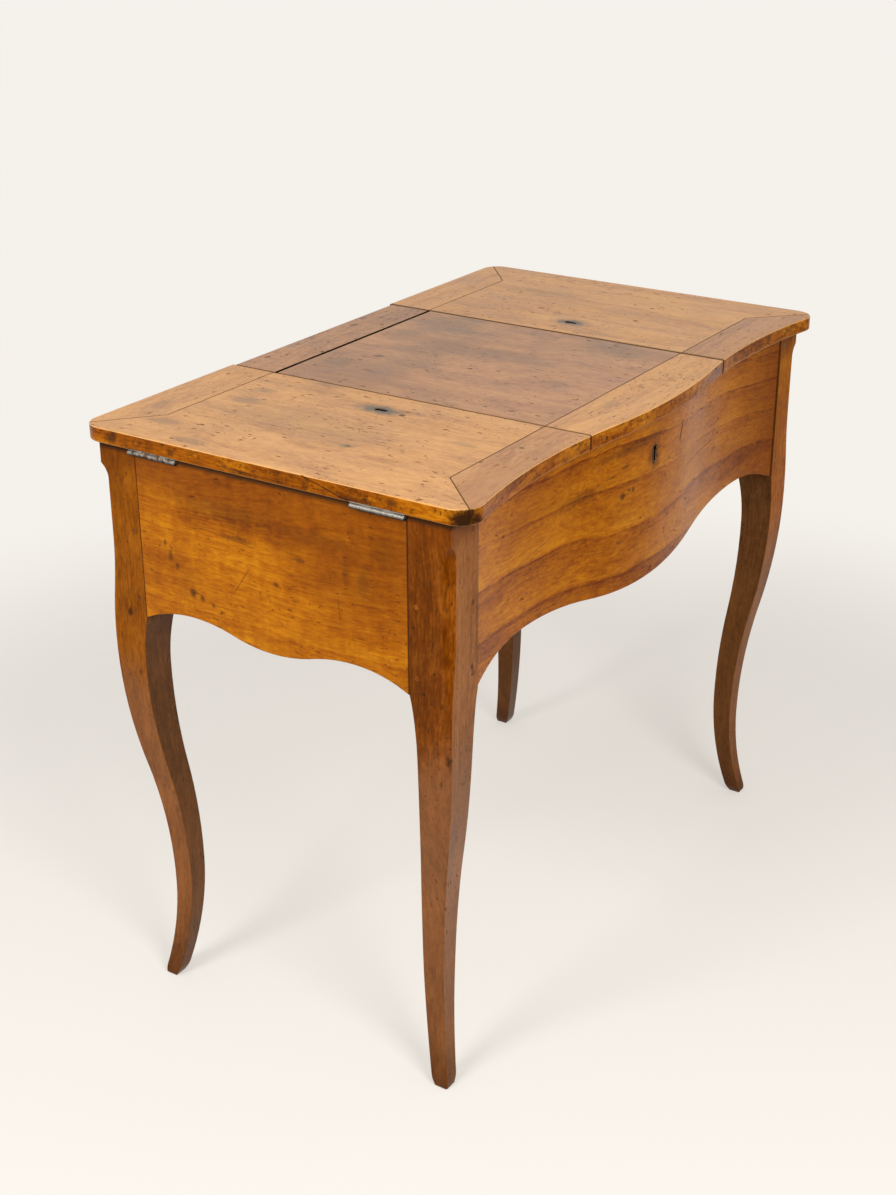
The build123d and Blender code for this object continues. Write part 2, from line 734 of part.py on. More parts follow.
# ------------------------------------------------------------------ side hinges
def side_barrel(y, first):
    """Knuckles of one leaf and the bore for the pin, round the left-hand axis."""
    for start, end in knuckle_spans(y, side_hinge_length, side_knuckles, first):
        with BuildSketch(xz_plane(end)) as knuckle:
            with Locations((-hinge_axis_x, hinge_axis_z)):
                Circle(knuckle_radius)
            if first == 0:
                with Locations((-side_x, carcass_top - barrel_gap)):
                    Rectangle(
                        knuckle_radius + barrel_gap, leaf_thickness, align=(Align.MAX, Align.MAX)
                    )
            else:
                with Locations((-hinge_axis_x, carcass_top)):
                    Rectangle(2 * neck_half, knuckle_radius + barrel_gap, align=(Align.CENTER, Align.MAX))
        extrude(knuckle.sketch, amount=end - start)


def side_bores():
    """Bore for the pin through the knuckles of both left-hand hinges."""
    for y in side_hinge_ys:
        with BuildSketch(xz_plane(y + side_hinge_length / 2)) as bore:
            with Locations((-hinge_axis_x, hinge_axis_z)):
                Circle(pin_radius + pin_gap)
        extrude(bore.sketch, amount=side_hinge_length, mode=Mode.SUBTRACT)


with BuildPart() as side_hinge_fixed_leaves:
    for y in side_hinge_ys:
        half = side_hinge_length / 2
        leaf_z = (carcass_top - leaf_thickness, carcass_top)
        block((-side_x, side_leaf_width - side_x), (y - half, y + half), leaf_z)
        side_barrel(y, 0)
    side_bores()
    screw_holes(left_fixed_screws)
    mirror(about=Plane.YZ)
keep(side_hinge_fixed_leaves, "side_hinge_fixed_leaves")

with BuildPart() as side_hinge_pins:
    for y in side_hinge_ys:
        with BuildSketch(xz_plane(y + side_hinge_length / 2)):
            with Locations((-hinge_axis_x, hinge_axis_z), (hinge_axis_x, hinge_axis_z)):
                Circle(pin_radius)
        extrude(amount=side_hinge_length)
keep(side_hinge_pins, "side_hinge_pins")

with BuildPart() as side_hinge_screws:
    screws(left_fixed_screws)
    screws(right_fixed_screws)
keep(side_hinge_screws, "side_hinge_screws")

with BuildPart() as left_flap_hinge_leaves:
    for y in side_hinge_ys:
        half = side_hinge_length / 2
        block(
            (-hinge_axis_x - neck_half, side_leaf_width - side_x),
            (y - half, y + half),
            (carcass_top, carcass_top + leaf_thickness),
        )
        side_barrel(y, 1)
    side_bores()
    screw_holes(left_moving_screws)
keep(left_flap_hinge_leaves, "left_flap_hinge_leaves")

with BuildPart() as left_flap_hinge_screws:
    screws(left_moving_screws)
keep(left_flap_hinge_screws, "left_flap_hinge_screws")

for left_piece, right_name in (
    (left_flap_board, "right_flap_board"),
    (left_flap_front_band, "right_flap_front_band"),
    (left_flap_rear_band, "right_flap_rear_band"),
    (left_flap_lock_case, "right_flap_lock_case"),
    (left_flap_lock_screws, "right_flap_lock_screws"),
    (left_flap_lock_bolt, "right_flap_lock_bolt"),
    (left_flap_hinge_leaves, "right_flap_hinge_leaves"),
    (left_flap_hinge_screws, "right_flap_hinge_screws"),
):
    with BuildPart() as right_piece:
        mirror(left_piece.part, about=Plane.YZ)
    keep(right_piece, right_name)

# ------------------------------------------------------------------ middle lid
lid_strike_x = front_bolt_width / 2 + strike_margin
lock_middle_y = (front_lock_y[0] + front_lock_y[1]) / 2
front_bolt_y = (lock_middle_y - bolt_thickness / 2, lock_middle_y + bolt_thickness / 2)
lid_strike_y = (front_bolt_y[0] - strike_margin, front_bolt_y[1] + strike_margin)
lid_slot_x = front_bolt_width / 2 + strike_slot_gap
lid_slot_y = (front_bolt_y[0] - strike_slot_gap, front_bolt_y[1] + strike_slot_gap)

with BuildPart() as middle_lid_panel:
    block((-lid_half_width, lid_half_width), (front_band_y, lid_rear_y), (carcass_top, height))
    tongue_half = lid_half_width - tongue_depth
    block((-tongue_half, tongue_half), (front_band_y - tongue_depth, front_band_y), tongue_z)
    small_leaf_seats(lid_rear_y, -1)
    screw_holes(lid_edge_screws)
keep(middle_lid_panel, "middle_lid_panel")

with BuildPart() as middle_lid_front_rail:
    with BuildSketch(Plane.XY.offset(carcass_top)):
        with BuildLine():
            serpentine(0, -lid_half_width, lid_half_width)
            Polyline(
                (lid_half_width, front_y(lid_half_width, 0)),
                (lid_half_width, front_band_y),
                (-lid_half_width, front_band_y),
                (-lid_half_width, front_y(lid_half_width, 0)),
            )
        make_face()
    extrude(amount=lid_thickness)
    for level, radius in ((-1, top_round), (0, under_round)):
        rim = middle_lid_front_rail.edges().group_by(Axis.Z)[level].filter_by(GeomType.CIRCLE)
        fillet(rim, radius)
    groove_half = tongue_half + mortise_gap
    block((-groove_half, groove_half), (front_band_y - groove_depth, front_band_y), groove_z, Mode.SUBTRACT)
    strike_seat_z = (carcass_top, carcass_top + strike_thickness)
    block((-lid_strike_x, lid_strike_x), lid_strike_y, strike_seat_z, Mode.SUBTRACT)
    block((-lid_slot_x, lid_slot_x), lid_slot_y, (carcass_top, carcass_top + strike_pocket), Mode.SUBTRACT)
keep(middle_lid_front_rail, "middle_lid_front_rail")

with BuildPart() as lid_strike:
    block((-lid_strike_x, lid_strike_x), lid_strike_y, strike_seat_z)
    block((-lid_slot_x, lid_slot_x), lid_slot_y, strike_seat_z, Mode.SUBTRACT)
keep(lid_strike, "lid_strike")

bead_outer = bead_width - bead_lap
mirror_half_width = partition_inner_x - mirror_side_gap - bead_outer
mirror_front_y = front_lock_y[1] + mirror_lock_gap + bead_outer
mirror_rear_y = lid_rear_y - mirror_rear_gap - bead_outer

with BuildPart() as mirror_glass:
    block(
        (-mirror_half_width, mirror_half_width),
        (mirror_front_y, mirror_rear_y),
        (carcass_top - mirror_thickness, carcass_top),
    )
keep(mirror_glass, "mirror_glass")

with BuildPart() as mirror_beads:
    mirror_middle_y = (mirror_front_y + mirror_rear_y) / 2
    mirror_length = mirror_rear_y - mirror_front_y
    with BuildSketch(Plane.XY.offset(carcass_top - bead_height)):
        with Locations((0, mirror_middle_y)):
            Rectangle(2 * (mirror_half_width + bead_outer), mirror_length + 2 * bead_outer)
            Rectangle(2 * (mirror_half_width - bead_lap), mirror_length - 2 * bead_lap, mode=Mode.SUBTRACT)
    extrude(amount=bead_height)
    chamfer(mirror_beads.edges().group_by(Axis.Z)[0], bead_lap)
    glass_x = mirror_half_width + mortise_gap
    glass_y = (mirror_front_y - mortise_gap, mirror_rear_y + mortise_gap)
    block((-glass_x, glass_x), glass_y, (carcass_top - mirror_thickness, carcass_top), Mode.SUBTRACT)
keep(mirror_beads, "mirror_beads")


def small_barrel(x, first, edge_y, leaf_y):
    """One leaf of a middle lid hinge: plate in the edge at edge_y, knuckles on the axis."""
    half = small_hinge_length / 2
    block((x - half, x + half), (edge_y, leaf_y), small_leaf_z)
    for start, end in knuckle_spans(x, small_hinge_length, small_knuckles, first):
        with BuildSketch(Plane.YZ.offset(start)) as knuckle:
            with Locations((small_axis_y, small_axis_z)):
                Circle(small_radius)
            with Locations(((small_axis_y + edge_y) / 2, small_axis_z)):
                Rectangle(abs(edge_y - small_axis_y), small_leaf_thickness, align=(Align.CENTER, Align.MAX))
        extrude(knuckle.sketch, amount=end - start)


def small_bores():
    """Bore for the pin through the knuckles of both middle lid hinges."""
    for x in small_hinge_xs:
        with BuildSketch(Plane.YZ.offset(x - small_hinge_length / 2)) as bore:
            with Locations((small_axis_y, small_axis_z)):
                Circle(small_pin_radius + pin_gap)
        extrude(bore.sketch, amount=small_hinge_length, mode=Mode.SUBTRACT)


with BuildPart() as rail_hinge_leaves:
    for x in small_hinge_xs:
        small_barrel(x, 0, rear_band_y, rear_band_y + small_leaf_thickness)
    small_bores()
    screw_holes(rail_screws)
keep(rail_hinge_leaves, "rail_hinge_leaves")

with BuildPart() as middle_lid_hinge_leaves:
    for x in small_hinge_xs:
        small_barrel(x, 1, lid_rear_y, lid_rear_y - small_leaf_thickness)
    small_bores()
    screw_holes(lid_edge_screws)
keep(middle_lid_hinge_leaves, "middle_lid_hinge_leaves")

with BuildPart() as rail_hinge_pins:
    for x in small_hinge_xs:
        with BuildSketch(Plane.YZ.offset(x - small_hinge_length / 2)):
            with Locations((small_axis_y, small_axis_z)):
                Circle(small_pin_radius)
        extrude(amount=small_hinge_length)
keep(rail_hinge_pins, "rail_hinge_pins")

with BuildPart() as rail_hinge_screws:
    screws(rail_screws)
keep(rail_hinge_screws, "rail_hinge_screws")

with BuildPart() as middle_lid_hinge_screws:
    screws(lid_edge_screws)
keep(middle_lid_hinge_screws, "middle_lid_hinge_screws")

# ------------------------------------------------------------------ front lock
front_bolt_x = (-front_bolt_width / 2, front_bolt_width / 2)

with BuildPart() as front_lock_case:
    block((-front_lock_width / 2, front_lock_width / 2), front_lock_y, front_lock_z)
    block(
        (front_bolt_x[0] - bolt_gap, front_bolt_x[1] + bolt_gap),
        (front_bolt_y[0] - bolt_gap, front_bolt_y[1] + bolt_gap),
        (front_lock_z[1] - bolt_length - inner_gap, front_lock_z[1]),
        Mode.SUBTRACT,
    )
    with BuildSketch(xz_plane(front_lock_y[0] + bolt_thickness)):
        keyhole(front_key_place, front_key_radius, front_key_slot, front_key_reach)
    extrude(amount=lock_thickness, mode=Mode.SUBTRACT)
    screw_holes(front_lock_screw_places, lock_screw_length)
keep(front_lock_case, "front_lock_case")

with BuildPart() as front_lock_screws:
    screws(front_lock_screw_places, lock_screw_length)
keep(front_lock_screws, "front_lock_screws")

with BuildPart() as front_lock_bolt:
    block(front_bolt_x, front_bolt_y, (front_lock_z[1] - bolt_length, front_lock_z[1] - bolt_gap))
keep(front_lock_bolt, "front_lock_bolt")

with BuildPart() as keyhole_lining:
    with BuildSketch(xz_plane(front_y(0, front_overhang) + lining_sunk + lining_depth)):
        keyhole(front_key_place, front_key_radius, front_key_slot, front_key_reach)
        offset(amount=lining_wall)
        keyhole(front_key_place, front_key_radius, front_key_slot, front_key_reach, Mode.SUBTRACT)
    extrude(amount=lining_depth)
keep(keyhole_lining, "keyhole_lining")
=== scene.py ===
"""Poudreuse dressing table: worn arrises, waxed wood, old ironwork and a plain studio.

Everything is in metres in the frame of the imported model: +Z up, the front towards -Y.
"""
import functools
import json
import math

import bmesh
import bpy
from bpy.props import FloatProperty, FloatVectorProperty, IntProperty, PointerProperty
from mathutils import Matrix, Vector
from mathutils.bvhtree import BVHTree


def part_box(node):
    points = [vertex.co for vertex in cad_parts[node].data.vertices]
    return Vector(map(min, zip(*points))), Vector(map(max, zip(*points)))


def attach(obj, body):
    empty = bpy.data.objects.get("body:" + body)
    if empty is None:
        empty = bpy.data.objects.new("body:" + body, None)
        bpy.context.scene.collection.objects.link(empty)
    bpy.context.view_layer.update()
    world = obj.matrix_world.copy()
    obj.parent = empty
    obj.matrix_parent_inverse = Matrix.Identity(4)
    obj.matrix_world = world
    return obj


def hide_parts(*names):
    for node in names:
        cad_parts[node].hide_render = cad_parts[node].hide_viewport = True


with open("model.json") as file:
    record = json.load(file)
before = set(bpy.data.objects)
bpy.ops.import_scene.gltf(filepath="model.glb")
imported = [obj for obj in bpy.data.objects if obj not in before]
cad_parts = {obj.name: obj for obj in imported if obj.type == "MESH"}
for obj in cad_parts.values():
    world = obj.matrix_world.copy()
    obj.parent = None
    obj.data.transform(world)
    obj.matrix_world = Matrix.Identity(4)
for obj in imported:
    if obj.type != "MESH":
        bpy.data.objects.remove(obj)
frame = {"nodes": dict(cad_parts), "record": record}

bl_info = {
    "name": "Poudreuse dressing table",
    "version": (1, 0, 0),
    "blender": (4, 5, 0),
    "location": "View3D > Sidebar > Poudreuse",
    "description": "Finishes a poudreuse dressing table and sets it in a plain studio",
    "category": "Object",
}

MM = 0.001
NODES = frame["nodes"]
BODY_OF = {n: b for b, names in frame["record"]["behaviour"]["bodies"].items() for n in names}
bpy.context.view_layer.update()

CASE_TOP_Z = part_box("front_panel")[1].z
TOP_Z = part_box("middle_lid_panel")[1].z
HINGE_Z = 699.5 * MM
BATTEN_GAP = 0.3 * MM
LEG_INNER_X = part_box("back_batten")[1].x + BATTEN_GAP
FRONT_JOINT_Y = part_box("left_batten")[0].y - BATTEN_GAP
REAR_JOINT_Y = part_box("left_batten")[1].y + BATTEN_GAP


# ------------------------------------------------------------------ settings
def colour(name, description, srgb):
    """A colour setting, given as 0 to 255 display values."""
    return FloatVectorProperty(
        name=name, description=description, subtype="COLOR_GAMMA", size=3, min=0.0, max=1.0,
        default=tuple(c / 255 for c in srgb),
    )


def late_wood(wood_name, where, srgb):
    """The colour of a wood's dark grain."""
    return colour(f"{wood_name}, dark grain", f"Late wood of {where}", srgb)


def early_wood(wood_name, where, srgb):
    """The colour of a wood's light grain."""
    return colour(f"{wood_name}, light grain", f"Early wood of {where}", srgb)


def length(name, description, millimetres):
    """A length setting, given in millimetres."""
    return FloatProperty(
        name=name, description=description, subtype="DISTANCE", unit="LENGTH", default=millimetres * MM
    )


class PoudreuseSizes(bpy.types.PropertyGroup):
    """Sizes of the wear and of the studio."""

    worn_arris: length("Worn arris", "Rounding of an arris that hands and dusters reach", 1.1)
    joint_arris: length("Joint arris", "Rounding of an arris that lies against a neighbour", 0.3)
    blunt_arris: length("Blunt arris", "Rounding where two faces meet at a blunt angle", 0.5)
    metal_arris: length("Metal arris", "Rounding of the ironwork's edges", 0.25)
    floor_radius: length("Floor radius", "Radius of the studio floor", 30000.0)
    lens: FloatProperty(name="Lens", description="Focal length in millimetres", default=53.97)
    arris_segments: IntProperty(name="Arris segments", description="Faces round an arris", default=2)


class PoudreuseColours(bpy.types.PropertyGroup):
    """Colours of the finishes and of the studio."""

    lid_dark: late_wood("Lid", "the flap boards", (154, 102, 62))
    lid_mid: colour("Lid", "Body colour of the flap boards", (200, 144, 88))
    lid_light: early_wood("Lid", "the flap boards", (224, 168, 106))
    centre_dark: late_wood("Middle panel", "the middle panel", (122, 86, 64))
    centre_mid: colour("Middle panel", "Body colour of the middle panel", (172, 122, 86))
    centre_light: early_wood("Middle panel", "the middle panel", (194, 146, 104))
    band_dark: late_wood("Band", "the flaps' bands", (134, 86, 56))
    band_mid: colour("Band", "Body colour of the flaps' bands", (180, 126, 80))
    band_light: early_wood("Band", "the flaps' bands", (202, 150, 100))
    edge_dark: late_wood("Lid edge", "the lids' edges", (92, 38, 0))
    edge_mid: colour("Lid edge", "Body colour of the lids' edges", (150, 80, 2))
    edge_light: early_wood("Lid edge", "the lids' edges", (196, 124, 16))
    # Painted highlight: the pale line along the lids' top arrises stands in for light caught there.
    arris: colour("Worn arris", "Bare wood where the lids' arrises are rubbed through", (248, 202, 138))
    side_dark: late_wood("Case", "the front and sides", (108, 46, 0))
    side_mid: colour("Case", "Body colour of the front and sides", (162, 90, 0))
    side_light: early_wood("Case", "the front and sides", (192, 122, 10))
    leg_dark: late_wood("Leg", "the legs", (62, 26, 2))
    leg_mid: colour("Leg", "Body colour of the legs", (98, 45, 2))
    leg_light: early_wood("Leg", "the legs", (140, 76, 16))
    amber_dark: late_wood("Amber leg", "the legs that kept their colour", (74, 32, 2))
    amber_mid: colour("Amber leg", "Body colour of the legs that kept their colour", (130, 70, 4))
    amber_light: early_wood("Amber leg", "the legs that kept their colour", (158, 92, 18))
    # Painted sheen: the front-left leg's front face takes this paler copy of the leg's colours in place of a
    # reflection.
    highlit_dark: late_wood("Rubbed leg", "the front legs' fronts", (84, 46, 16))
    highlit_mid: colour("Rubbed leg", "Body colour of the front legs' fronts", (130, 78, 36))
    highlit_light: early_wood("Rubbed leg", "the front legs' fronts", (156, 102, 56))
    # Painted shade: the legs' inward faces take this darker copy of the leg's colours.
    shaded_dark: late_wood("Inner leg", "the faces that look inwards", (56, 34, 18))
    shaded_mid: colour("Inner leg", "Body colour of the faces that look inwards", (88, 54, 28))
    shaded_light: early_wood("Inner leg", "the faces that look inwards", (112, 72, 42))
    # Painted reflection of the pale floor: the legs turn paler below the knee, their inward faces too.
    leg_low_floor_reflection: colour("Lower leg", "Paler, rubbed wood below the knee", (121, 76, 44))
    low_shaded: colour("Lower leg, inner faces", "Inward faces below the knee", (100, 62, 32))
    stain: colour("Key stain", "Grey iron stain round a keyhole", (84, 80, 72))
    inner_dark: late_wood("Inside", "the unpolished inner boards", (104, 70, 42))
    inner_mid: colour("Inside", "Body colour of the unpolished inner boards", (158, 116, 76))
    inner_light: early_wood("Inside", "the unpolished inner boards", (184, 144, 100))
    # Besides dirt in joints, knots and pores, this colour paints the shade under the lids' edges and between
    # the lids.
    grime_and_shade: colour("Grime", "Old wax and dust in joints, knots and pores", (40, 22, 12))
    # Painted shade: near-black inside the keyholes, in the gap behind the middle lid and on the lower side of
    # the side hinges' barrels.
    deep_shade: colour("Hole", "The dark inside a keyhole or an open joint", (10, 6, 4))
    iron: colour("Iron", "Old lock iron", (70, 64, 58))
    steel: colour("Steel", "Hinge steel", (152, 148, 140))
    rust: colour("Rust", "Brown of the pitted ironwork", (84, 52, 32))
    brass: colour("Brass", "Keyhole lining", (104, 86, 58))
    silver: colour("Silvering", "Mirror silvering", (206, 208, 204))
    floor: colour("Floor", "Studio floor and backdrop", (245, 241, 235))


def sizes():
    return bpy.context.scene.poudreuse_sizes


def linear(name):
    """A colour setting as scene-linear values with alpha."""
    display = getattr(bpy.context.scene.poudreuse_colours, name)
    return [c / 12.92 if c <= 0.04045 else ((c + 0.055) / 1.055) ** 2.4 for c in display] + [1.0]


# ------------------------------------------------------------------ shader building
class Finish:
    """A material under construction. Its methods add nodes and return their output sockets."""

    def __init__(self, name):
        self.material = bpy.data.materials.new(name)
        self.material.use_nodes = True
        self.nodes = self.material.node_tree.nodes
        self.links = self.material.node_tree.links
        self.nodes.clear()
        self.output = self.new("OutputMaterial")
        self.place = self.new("TexCoord").outputs["Object"]

    def new(self, kind):
        return self.nodes.new(f"ShaderNode{kind}")

    def feed(self, socket, value):
        if isinstance(value, bpy.types.NodeSocket):
            self.links.new(value, socket)
        else:
            socket.default_value = value

    def feed_all(self, sockets, values):
        for socket, value in zip(sockets, values):
            self.feed(socket, value)

    def maths(self, operation, *values, clamp=False):
        node = self.new("Math")
        node.operation = operation
        node.use_clamp = clamp
        self.feed_all(node.inputs, values)
        return node.outputs[0]

    def add(self, *values):
        return functools.reduce(lambda a, b: self.maths("ADD", a, b), values)

    def times(self, *values):
        return functools.reduce(lambda a, b: self.maths("MULTIPLY", a, b), values)

    def most(self, *values):
        return functools.reduce(lambda a, b: self.maths("MAXIMUM", a, b), values)

    def vector(self, operation, *values):
        node = self.new("VectorMath")
        node.operation = operation
        self.feed_all(node.inputs, values)
        return node.outputs["Value" if operation in ("LENGTH", "DOT_PRODUCT") else "Vector"]

    def between(self, value, low, high, start=0.0, end=1.0):
        """A smooth step of value from low to high, running from start to end."""
        node = self.new("MapRange")
        node.interpolation_type = "SMOOTHSTEP"
        self.feed_all(node.inputs, (value, low, high, start, end))
        return node.outputs[0]

    def blend(self, share, first, second):
        node = self.new("Mix")
        node.data_type = "RGBA"
        self.feed_all((node.inputs[0], node.inputs[6], node.inputs[7]), (share, first, second))
        return node.outputs[2]

    def noise(self, where, scale, detail=2.0, roughness=0.5, output=0):
        node = self.new("TexNoise")
        self.feed(node.inputs["Vector"], where)
        node.inputs["Scale"].default_value = scale
        node.inputs["Detail"].default_value = detail
        node.inputs["Roughness"].default_value = roughness
        return node.outputs[output]

    def ramp(self, value, *stops):
        node = self.new("ValToRGB")
        marks = node.color_ramp.elements
        while len(marks) < len(stops):
            marks.new(0.5)
        for mark, (position, tint) in zip(marks, stops):
            mark.position = position
            mark.color = tint
        self.feed(node.inputs[0], value)
        return node.outputs[0]

    def turned(self, where, turn):
        node = self.new("Mapping")
        self.feed(node.inputs["Vector"], where)
        node.inputs["Rotation"].default_value = turn
        return node.outputs[0]

    def stretched(self, where, factors):
        return self.vector("MULTIPLY", where, factors)

    def part(self, where, axis):
        node = self.new("SeparateXYZ")
        self.feed(node.inputs[0], where)
        return node.outputs["XYZ".index(axis)]

    def relief(self, height, depth, under=None):
        node = self.new("Bump")
        node.inputs["Distance"].default_value = depth
        self.feed(node.inputs["Height"], height)
        if under is not None:
            self.feed(node.inputs["Normal"], under)
        return node.outputs[0]

    def surface(self, base, roughness, normal=None, **constants):
        """The closing shader. Constants go straight on its sockets."""
        shader = self.new("BsdfPrincipled")
        self.feed(shader.inputs["Base Color"], base)
        self.feed(shader.inputs["Roughness"], roughness)
        if normal is not None:
            self.feed(shader.inputs["Normal"], normal)
        for name, value in constants.items():
            shader.inputs[name.replace("_", " ")].default_value = value
        self.links.new(shader.outputs[0], self.output.inputs["Surface"])
        return self.material


GRAIN_TURNS = {"X": (0.0, 0.0, 0.0), "Y": (0.0, 0.0, -math.pi / 2), "Z": (0.0, math.pi / 2, 0.0)}
SEED_SPREAD = (1.0, 0.37, 0.71)
WAX_TINT = (1.0, 0.42, 0.06, 1.0)
TONE_STOPS = (0.15, 0.5, 0.85)
SHADE_DARK, SHADE_LIGHT = 0.6, 1.35
MEAN_TONE = 0.55

# How far each pattern moves the tone, the edges or the roughness.
BAND_SWING, FIBRE_SWING, TUFT_SWING, RING_SWING = 0.9, 1.4, 0.7, 0.7
WOBBLE_SWING = 1.6
MOTTLE_ROUGHNESS, PIT_ROUGHNESS, RUST_ROUGHNESS = 0.25, 0.35, 0.35

# How finely each pattern is drawn along the grain and across it.
DRIFT, DRIFT_REACH = (2.4, 7.0, 7.0), (0.0, 0.07, 0.07)
SWAY, SWAY_REACH = (16.0, 40.0, 40.0), (0.0, 0.008, 0.008)
BANDS = (4.0, 60.0, 60.0)
FIBRES = (22.0, 420.0, 420.0)
TUFTS = (90.0, 260.0, 260.0)
MOTTLE, MOTTLE_SCALE = (0.5, 1.0, 1.0), 24.0
CURL = (110.0, 22.0, 22.0)
HAZE = (3.5, 9.0, 9.0)
RING_PATCHES = (3.0, 9.0, 9.0)
SWELLS = (9.0, 16.0, 16.0)
WOBBLE_SCALE = 90.0
DIRT_SCALE = 110.0
SCATTER_CHANCE = 0.2
CROWDING_SCALE = 14.0
DENT_SCALE = 150.0

# Where in a noise each kind of mark begins and where it is full.
SMOKE_STEP = (0.47, 0.68)
DIRT_STEP = (0.50, 0.62)
DENT_STEP = (0.67, 0.71)
CROWDING_STEP = (0.4, 0.66)
PATCH_STEP = (0.35, 0.6)

# Where along a growth ring it starts to darken, quickens, is darkest and ends.
RING_START, RING_TURN, RING_PEAK, RING_END = 0.1, 0.84, 0.93, 0.97

SWELL_DEPTH = 0.8 * MM
FIBRE_DEPTH = 0.1 * MM
PIT_DEPTH = 0.12 * MM
RUST_DEPTH = 0.15 * MM


def centred(make, value, size):
    """A noise brought to swing size each way round nothing."""
    return make.times(make.maths("SUBTRACT", value, 0.5), size)


def mark_mask(make, wobble, mark):
    """A soft-edged spot round mark's place: strongest in the middle, 0 outside."""
    away = make.vector("DIVIDE", make.vector("SUBTRACT", make.place, mark["at"]), mark["size"])
    reach = make.add(make.vector("LENGTH", away), wobble)
    return make.between(reach, mark.get("core", 0.25), 1.0, mark["strength"], 0.0)


def line_mask(make, wobble, line):
    """A thin line where a plane cuts the surface, between two places along it."""
    away = make.maths("SUBTRACT", make.vector("DOT_PRODUCT", make.place, line["normal"]), line["offset"])
    away = make.add(away, make.times(wobble, line.get("waver", 0.0)))
    mask = make.between(make.maths("ABSOLUTE", away), 0.0, line["width"], line["strength"], 0.0)
    if "along" in line:
        ahead = make.vector("DOT_PRODUCT", make.place, line["along"])
        begun = make.maths("GREATER_THAN", ahead, line["start"])
        mask = make.times(mask, make.times(begun, make.maths("LESS_THAN", ahead, line["stop"])))
    return mask


def growth_rings(make, own, drift, pith, rings):
    """Rings round a pith that runs with the grain: each darkens slowly and ends at a crisp line."""
    across = make.vector("SUBTRACT", make.vector("MULTIPLY", own, (0.0, 1.0, 1.0)), (0.0, *pith))
    count = make.times(make.vector("LENGTH", make.vector("ADD", across, drift)), rings)
    along = make.maths("FRACT", count)
    slow = make.between(along, RING_START, RING_PEAK, 0.0, 0.6)
    quick = make.between(along, RING_TURN, RING_PEAK, 0.0, 0.5)
    end = make.between(along, RING_PEAK, RING_END, 1.0, 0.0)
    patchy = make.between(make.noise(make.stretched(own, RING_PATCHES), 1.0), *PATCH_STEP, 0.45, 1.0)
    chance = make.new("TexWhiteNoise")
    chance.noise_dimensions = "1D"
    make.feed(chance.inputs["W"], make.maths("FLOOR", count))
    return make.times(make.add(slow, quick), end, patchy), chance.outputs["Value"]


def scatter(make, own, crowding, scale, stretch, inner, outer):
    """Small dark marks strewn in drifts over every face that runs with the grain."""
    x, y, z = (make.part(own, axis) for axis in "XYZ")
    flat = make.new("CombineXYZ")
    make.feed(flat.inputs["X"], make.times(x, stretch))
    make.feed(flat.inputs["Y"], make.add(y, z))
    cell = make.new("TexVoronoi")
    cell.voronoi_dimensions = "2D"
    make.feed(cell.inputs["Vector"], flat.outputs[0])
    cell.inputs["Scale"].default_value = scale
    pit = make.between(cell.outputs["Distance"], inner, outer, 1.0, 0.0)
    chance = make.times(crowding, SCATTER_CHANCE)
    there = make.maths("LESS_THAN", make.part(cell.outputs["Color"], "X"), chance)
    return make.times(pit, there)


def pitting(make, own, plank, fibre_place):
    """Worm holes, scratches along the grain and dents, crowded in some places and rare in others."""
    crowding = make.between(make.noise(plank, CROWDING_SCALE), *CROWDING_STEP, 0.15, 1.8)
    holes = scatter(make, own, crowding, 75.0, 1.0, 0.045, 0.10)
    scratches = scatter(make, fibre_place, crowding, 120.0, 0.25, 0.05, 0.15)
    dents = make.between(make.noise(plank, DENT_SCALE, 3.0, 0.6), *DENT_STEP)
    dents = make.maths("MULTIPLY", dents, crowding, clamp=True)
    return make.most(holes, scratches, dents)


def wandering(make, plank, stretch, detail, reach):
    """A slow shift of the grain sideways, up to reach."""
    swing = make.noise(make.stretched(plank, stretch), 1.0, detail, output=1)
    return make.vector("MULTIPLY", make.vector("SUBTRACT", swing, (0.5, 0.5, 0.5)), reach)


def toned(make, value, tones):
    """A dark, a middle and a light tone laid along a value."""
    return make.ramp(value, *zip(TONE_STOPS, tones))


